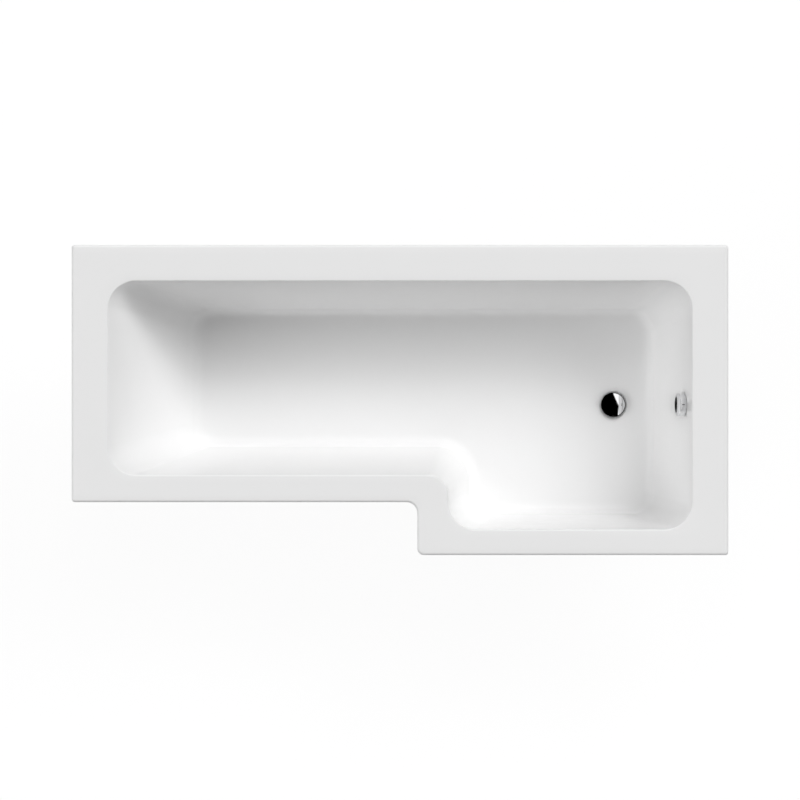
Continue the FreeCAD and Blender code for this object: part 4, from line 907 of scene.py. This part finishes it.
def drum_cap():
    """A drum turned about the overflow's axis: a slightly domed face, z = top − dome (r / R)^2, a rounded
    edge, a thin skirt, and inside it a socket for the post."""
    reach = DRUM * np.linspace(0, FACE_SHARE, 12)
    face = np.stack([reach, DRUM_FACE - DRUM_DOME * (reach / DRUM) ** 2, 0 * reach], axis=-1)
    inside = DRUM - DRUM_WALL
    return turned(rounded([
        *face.tolist(), (DRUM, DRUM_FACE - DRUM_DOME, DRUM_ROUND), (DRUM, DRUM_GAP, 0.5),
        (inside, DRUM_GAP, 0.3), (inside, DRUM_INSIDE, 1.5), (POST_SOCKET, DRUM_INSIDE, 0.5),
        (POST_SOCKET, POST_SOCKET_LOW, 0.3), (POST_HOLE, POST_SOCKET_LOW, 0.3), (POST_HOLE, DRUM_INSIDE, 0),
        (0, DRUM_INSIDE, 0),
    ]))


drum = make_object("overflow_drum", [placed(drum_cap(), OVERFLOW, OVERFLOW_TURN)], wrap=True)
notch = box_rings((-DRUM * 1.5, -NOTCH_WIDE / 2, -DRUM), (-DRUM / 2, NOTCH_WIDE / 2, NOTCH_TOP))
combine(drum, placed(notch, OVERFLOW, OVERFLOW_TURN))
grub = placed(turned([
    (0, DRUM), (GRUB_HOLE, DRUM), (GRUB_HOLE, -GRUB_SINK), (0, -GRUB_SINK),
], columns=24), (DRUM, 0, GRUB_PLACE), np.pi / 2)
combine(drum, placed(grub, OVERFLOW, OVERFLOW_TURN))
fit_piece(drum, chrome_plate, "overflow_cap")
finish_nodes(["overflow_front_seal"], cell_foam)
finish_nodes(["overflow_gasket"], black_rubber)
finish_nodes(["overflow_insert", "overflow_elbow"], white_moulding)

# Overflow hose. A blown, ribbed plastic hose hangs from the elbow behind the end wall and bends once, under
# the floor, to the ring on the waste. Two union nuts clamp its plain cuffs on spigots.

HOSE_TOP = np.array([803.7, -13.0, 434.9])
HOSE_END = np.array([635.0, -13.0, 141.0])
HOSE_CUFF = 26.0
HOSE_RIBS = 32
RINGS_A_RIB = 14
RIB_VALLEY = 0.2
RIB_SLOPE = 0.45
HOSE_COLUMNS = 40
HOSE_CREST = 13.0
HOSE_ROOT = 11.4
HOSE_BORE = 10.0
HOSE_WALL = 1.4
UNION = 17.0
UNION_BORE = 13.1
UNION_LENGTH = 15.0
UNION_GRIPS = 20
UNION_GRIP_DEPTH = 0.9
UNION_COLUMNS = 160

down_wall = np.array([-np.sin(WALL_LEAN), 0.0, -np.cos(WALL_LEAN)])
hose_corner = HOSE_TOP + down_wall * (HOSE_TOP[2] - HOSE_END[2]) / np.cos(WALL_LEAN)
bend_reach = hose_corner[0] - HOSE_END[0]
hose_route = [HOSE_TOP, hose_corner - down_wall * bend_reach * 2, hose_corner, HOSE_END]


def spline_points(route):
    """Points along a smooth spline whose control points are the route's, evenly spaced, and its length."""
    curve = bpy.data.curves.new("route", "CURVE")
    curve.dimensions = "3D"
    curve.resolution_u = 200
    spline = curve.splines.new("NURBS")
    spline.points.add(len(route) - 1)
    spline.points.foreach_set("co", np.column_stack([np.array(route), np.ones(len(route))]).ravel())
    spline.order_u = 3
    spline.use_endpoint_u = True
    holder = bpy.data.objects.new("route", curve)
    line = bpy.data.meshes.new_from_object(holder)
    spots = np.empty(len(line.vertices) * 3)
    line.vertices.foreach_get("co", spots)
    bpy.data.objects.remove(holder)
    bpy.data.curves.remove(curve)
    bpy.data.meshes.remove(line)
    spots = spots.reshape(-1, 3)
    far = np.concatenate([[0], np.cumsum(np.linalg.norm(np.diff(spots, axis=0), axis=1))])
    even = np.linspace(0, far[-1], HOSE_RIBS * RINGS_A_RIB + 1)
    return np.stack([np.interp(even, far, spots[:, axis]) for axis in range(3)], axis=-1), even


def ribbed_hose():
    """Rings along the hose, out along its outside and back along its bore. Over a rib's share u the outside
    is root + (crest − root) times a smooth step of (1 − |2u − 1| − valley) / slope, and between the cuffs
    the bore keeps one wall inside it."""
    path, along = spline_points(hose_route)
    ribbed = (along > HOSE_CUFF) & (along < along[-1] - HOSE_CUFF)
    share = (along - HOSE_CUFF) / (along[-1] - 2 * HOSE_CUFF) * HOSE_RIBS % 1
    ramp = np.clip((1 - np.abs(2 * share - 1) - RIB_VALLEY) / RIB_SLOPE, 0, 1)
    crest = HOSE_ROOT + (HOSE_CREST - HOSE_ROOT) * ramp ** 2 * (3 - 2 * ramp)
    outside = np.where(ribbed, crest, HOSE_CREST)
    inside = np.where(ribbed, crest - HOSE_WALL, HOSE_BORE)
    out = swept(path, outside, (0, 1, 0), HOSE_COLUMNS)
    back = swept(path, inside, (0, 1, 0), HOSE_COLUMNS)[::-1]
    return np.concatenate([out, back])


def union_nut():
    """A ring whose outside is drawn in between grips: r = R − depth (1 − cos(grips · angle)) / 2."""
    profile = rounded([
        (UNION_BORE, UNION_LENGTH, 0.3), (UNION, UNION_LENGTH, 1.2), (UNION, 0, 0.8), (UNION_BORE, 0, 0.3),
    ])
    ring = turned(profile, UNION_COLUMNS)
    angle = np.arctan2(ring[..., 1], ring[..., 0])
    out = np.clip((np.hypot(ring[..., 0], ring[..., 1]) - UNION_BORE) / (UNION - UNION_BORE), 0, 1)
    drawn = 1 - out * UNION_GRIP_DEPTH * (1 - np.cos(UNION_GRIPS * angle)) / 2 / UNION
    ring[..., :2] *= drawn[..., None]
    return ring


hose = make_object("ribbed_hose", [ribbed_hose()], wrap=True, crease=60)
upper_nut = make_object("union_nut_upper", [placed(union_nut(), HOSE_TOP, WALL_LEAN + np.pi)], wrap=True)
lower_nut = make_object("union_nut_lower", [placed(union_nut(), HOSE_END, np.pi / 2)], wrap=True)

# Blown polyethylene: grey, waxy and a little uneven, with a soft shine on the ribs.
grey_hose, tree, coords = new_material("blown_polyethylene")
blown = grained(tree, coords, size=1.2, detail=2.0, strength=0.12, height=0.08)
mottle(tree, coords, 18, ("#b9bbbc", "#cfd0d0"), (0.32, 0.5), Normal=blown, IOR=1.51)

fit_piece(hose, grey_hose, "overflow_hose")
fit_piece(upper_nut, white_moulding, "hose_nut_upper")
fit_piece(lower_nut, white_moulding, "hose_nut_lower")

# Studio. The camera looks straight down on the bath from far above, as the photograph does, over a pale
# floor. Soft lights stand round the back of the foot end, and two weaker ones low at the head end.

VIEW_WIDTH = 2.193
CAMERA_HEIGHT = 20.0
scene = bpy.context.scene
camera = put("camera", bpy.data.cameras.new("camera"))
camera.data.type = "ORTHO"
camera.data.ortho_scale = VIEW_WIDTH
camera.location = (0.0, 0.0, CAMERA_HEIGHT)
scene.camera = camera
scene.view_settings.view_transform = "Standard"

# The camera and mirrors see through the floor to the white behind it, dimmed by what the lights give back,
# so that only the bath's shadow shows, and a foot let down below it. Other light meets a pale grey.
FLOOR_HALF = 30.0
FLOOR_DROP = 0.0002
floor = put("floor", bpy.data.meshes.new("floor"))
floor_corners = np.array([(-1, -1), (1, -1), (1, 1), (-1, 1)]) * FLOOR_HALF
floor.data.from_pydata(np.column_stack([floor_corners, np.full(4, -FLOOR_DROP)]), [], [(0, 1, 2, 3)])
pale_floor, tree, coords = new_material("pale_floor")
path = add(tree, "LightPath")
seen = add(tree, "Math", {
    0: path.outputs["Is Camera Ray"], 1: path.outputs["Is Glossy Ray"],
}, operation="MAXIMUM")
clear = add(tree, "BsdfTransparent", {"Color": "#f9f9f9"})
shaded = add(tree, "BsdfDiffuse", {"Color": "#4b4b4b"})
shown = add(tree, "AddShader", {0: clear, 1: shaded})
matt = add(tree, "BsdfDiffuse", {"Color": "#b4b4b4"})
mixed = add(tree, "MixShader", {0: seen, 1: matt, 2: shown})
add(tree, "OutputMaterial", {"Surface": mixed})
floor.data.materials.append(pale_floor)

# Mirrors see a dark ceiling that pales towards the horizon, with the edge of a large soft light over the
# back of the foot end. The camera sees plain white, and everything else an even, faint light.
EVEN_LIGHT = 0.08
CEILING = 0.0
SOFTBOX_EDGES = [((0.905, 0.426, 0.0), 0.247), ((0.994, -0.113, 0.0), 0.306)]
SOFTBOX_SIDE = 0.29
SOFTBOX_BLUR = 0.01
SOFTBOX_WHITE = 1.2
SOFTBOX_GREY = 0.72
PALE_BELOW = 0.25
DARK_ABOVE = 0.5
world = bpy.data.worlds.new("studio")
scene.world = world
world.use_nodes = True
tree = world.node_tree
tree.nodes.clear()
path = add(tree, "LightPath")
way = add(tree, "TexCoord").outputs["Generated"]
split = add(tree, "SeparateXYZ", {0: way})
lit = 0.0
for square, edge in SOFTBOX_EDGES:
    toward = add(tree, "VectorMath", {0: way, 1: square}, operation="DOT_PRODUCT")
    beyond = add(tree, "MapRange", {
        "Value": toward.outputs["Value"], "From Min": edge - SOFTBOX_BLUR, "From Max": edge + SOFTBOX_BLUR,
    })
    lit = add(tree, "Math", {0: lit, 1: beyond}, operation="MAXIMUM")
beside = add(tree, "MapRange", {
    "Value": split.outputs[0], "From Min": SOFTBOX_SIDE - SOFTBOX_BLUR,
    "From Max": SOFTBOX_SIDE + SOFTBOX_BLUR, "To Min": SOFTBOX_WHITE, "To Max": SOFTBOX_GREY,
})
softbox = add(tree, "Math", {0: lit, 1: beside}, operation="MULTIPLY")
horizon = add(tree, "MapRange", {
    "Value": split.outputs[2], "From Min": PALE_BELOW, "From Max": DARK_ABOVE, "To Min": 1.0,
    "To Max": CEILING,
})
above = add(tree, "Math", {0: softbox, 1: horizon}, operation="MAXIMUM")
mirrored = add(tree, "Mix", {0: path.outputs["Is Glossy Ray"], 2: EVEN_LIGHT, 3: above}, data_type="FLOAT")
shown = add(tree, "Math", {
    0: path.outputs["Is Camera Ray"], 1: path.outputs["Is Transmission Ray"],
}, operation="MAXIMUM")
level = add(tree, "Mix", {0: shown, 2: mirrored, 3: 1.0}, data_type="FLOAT")
around = add(tree, "Background", {"Color": (1.0, 1.0, 1.0, 1.0), "Strength": level})
add(tree, "OutputWorld", {"Surface": around})

# Soft lights: bearing from the foot end round by the back, height above the horizon and spread, in degrees,
# and the share of full white that each gives a surface that faces it. Mirrors don't see them.
SOFT_LIGHTS = [
    (30.0, 44.0, 18.0, 0.178), (60.0, 44.0, 18.0, 0.293), (90.0, 56.0, 18.0, 0.115),
    (120.0, 70.0, 36.0, 0.092), (30.0, 32.0, 36.0, 0.101), (180.0, 32.0, 36.0, 0.186),
    (210.0, 32.0, 36.0, 0.161),
]
for number, (bearing, rise, spread, share) in enumerate(SOFT_LIGHTS, 1):
    lamp = put(f"soft_light_{number}", bpy.data.lights.new(f"soft_light_{number}", "SUN"))
    lamp.data.angle = np.radians(spread)
    lamp.data.energy = np.pi * share
    lamp.rotation_euler = (np.radians(90 - rise), 0.0, np.radians(90 + bearing))
    lamp.visible_glossy = False
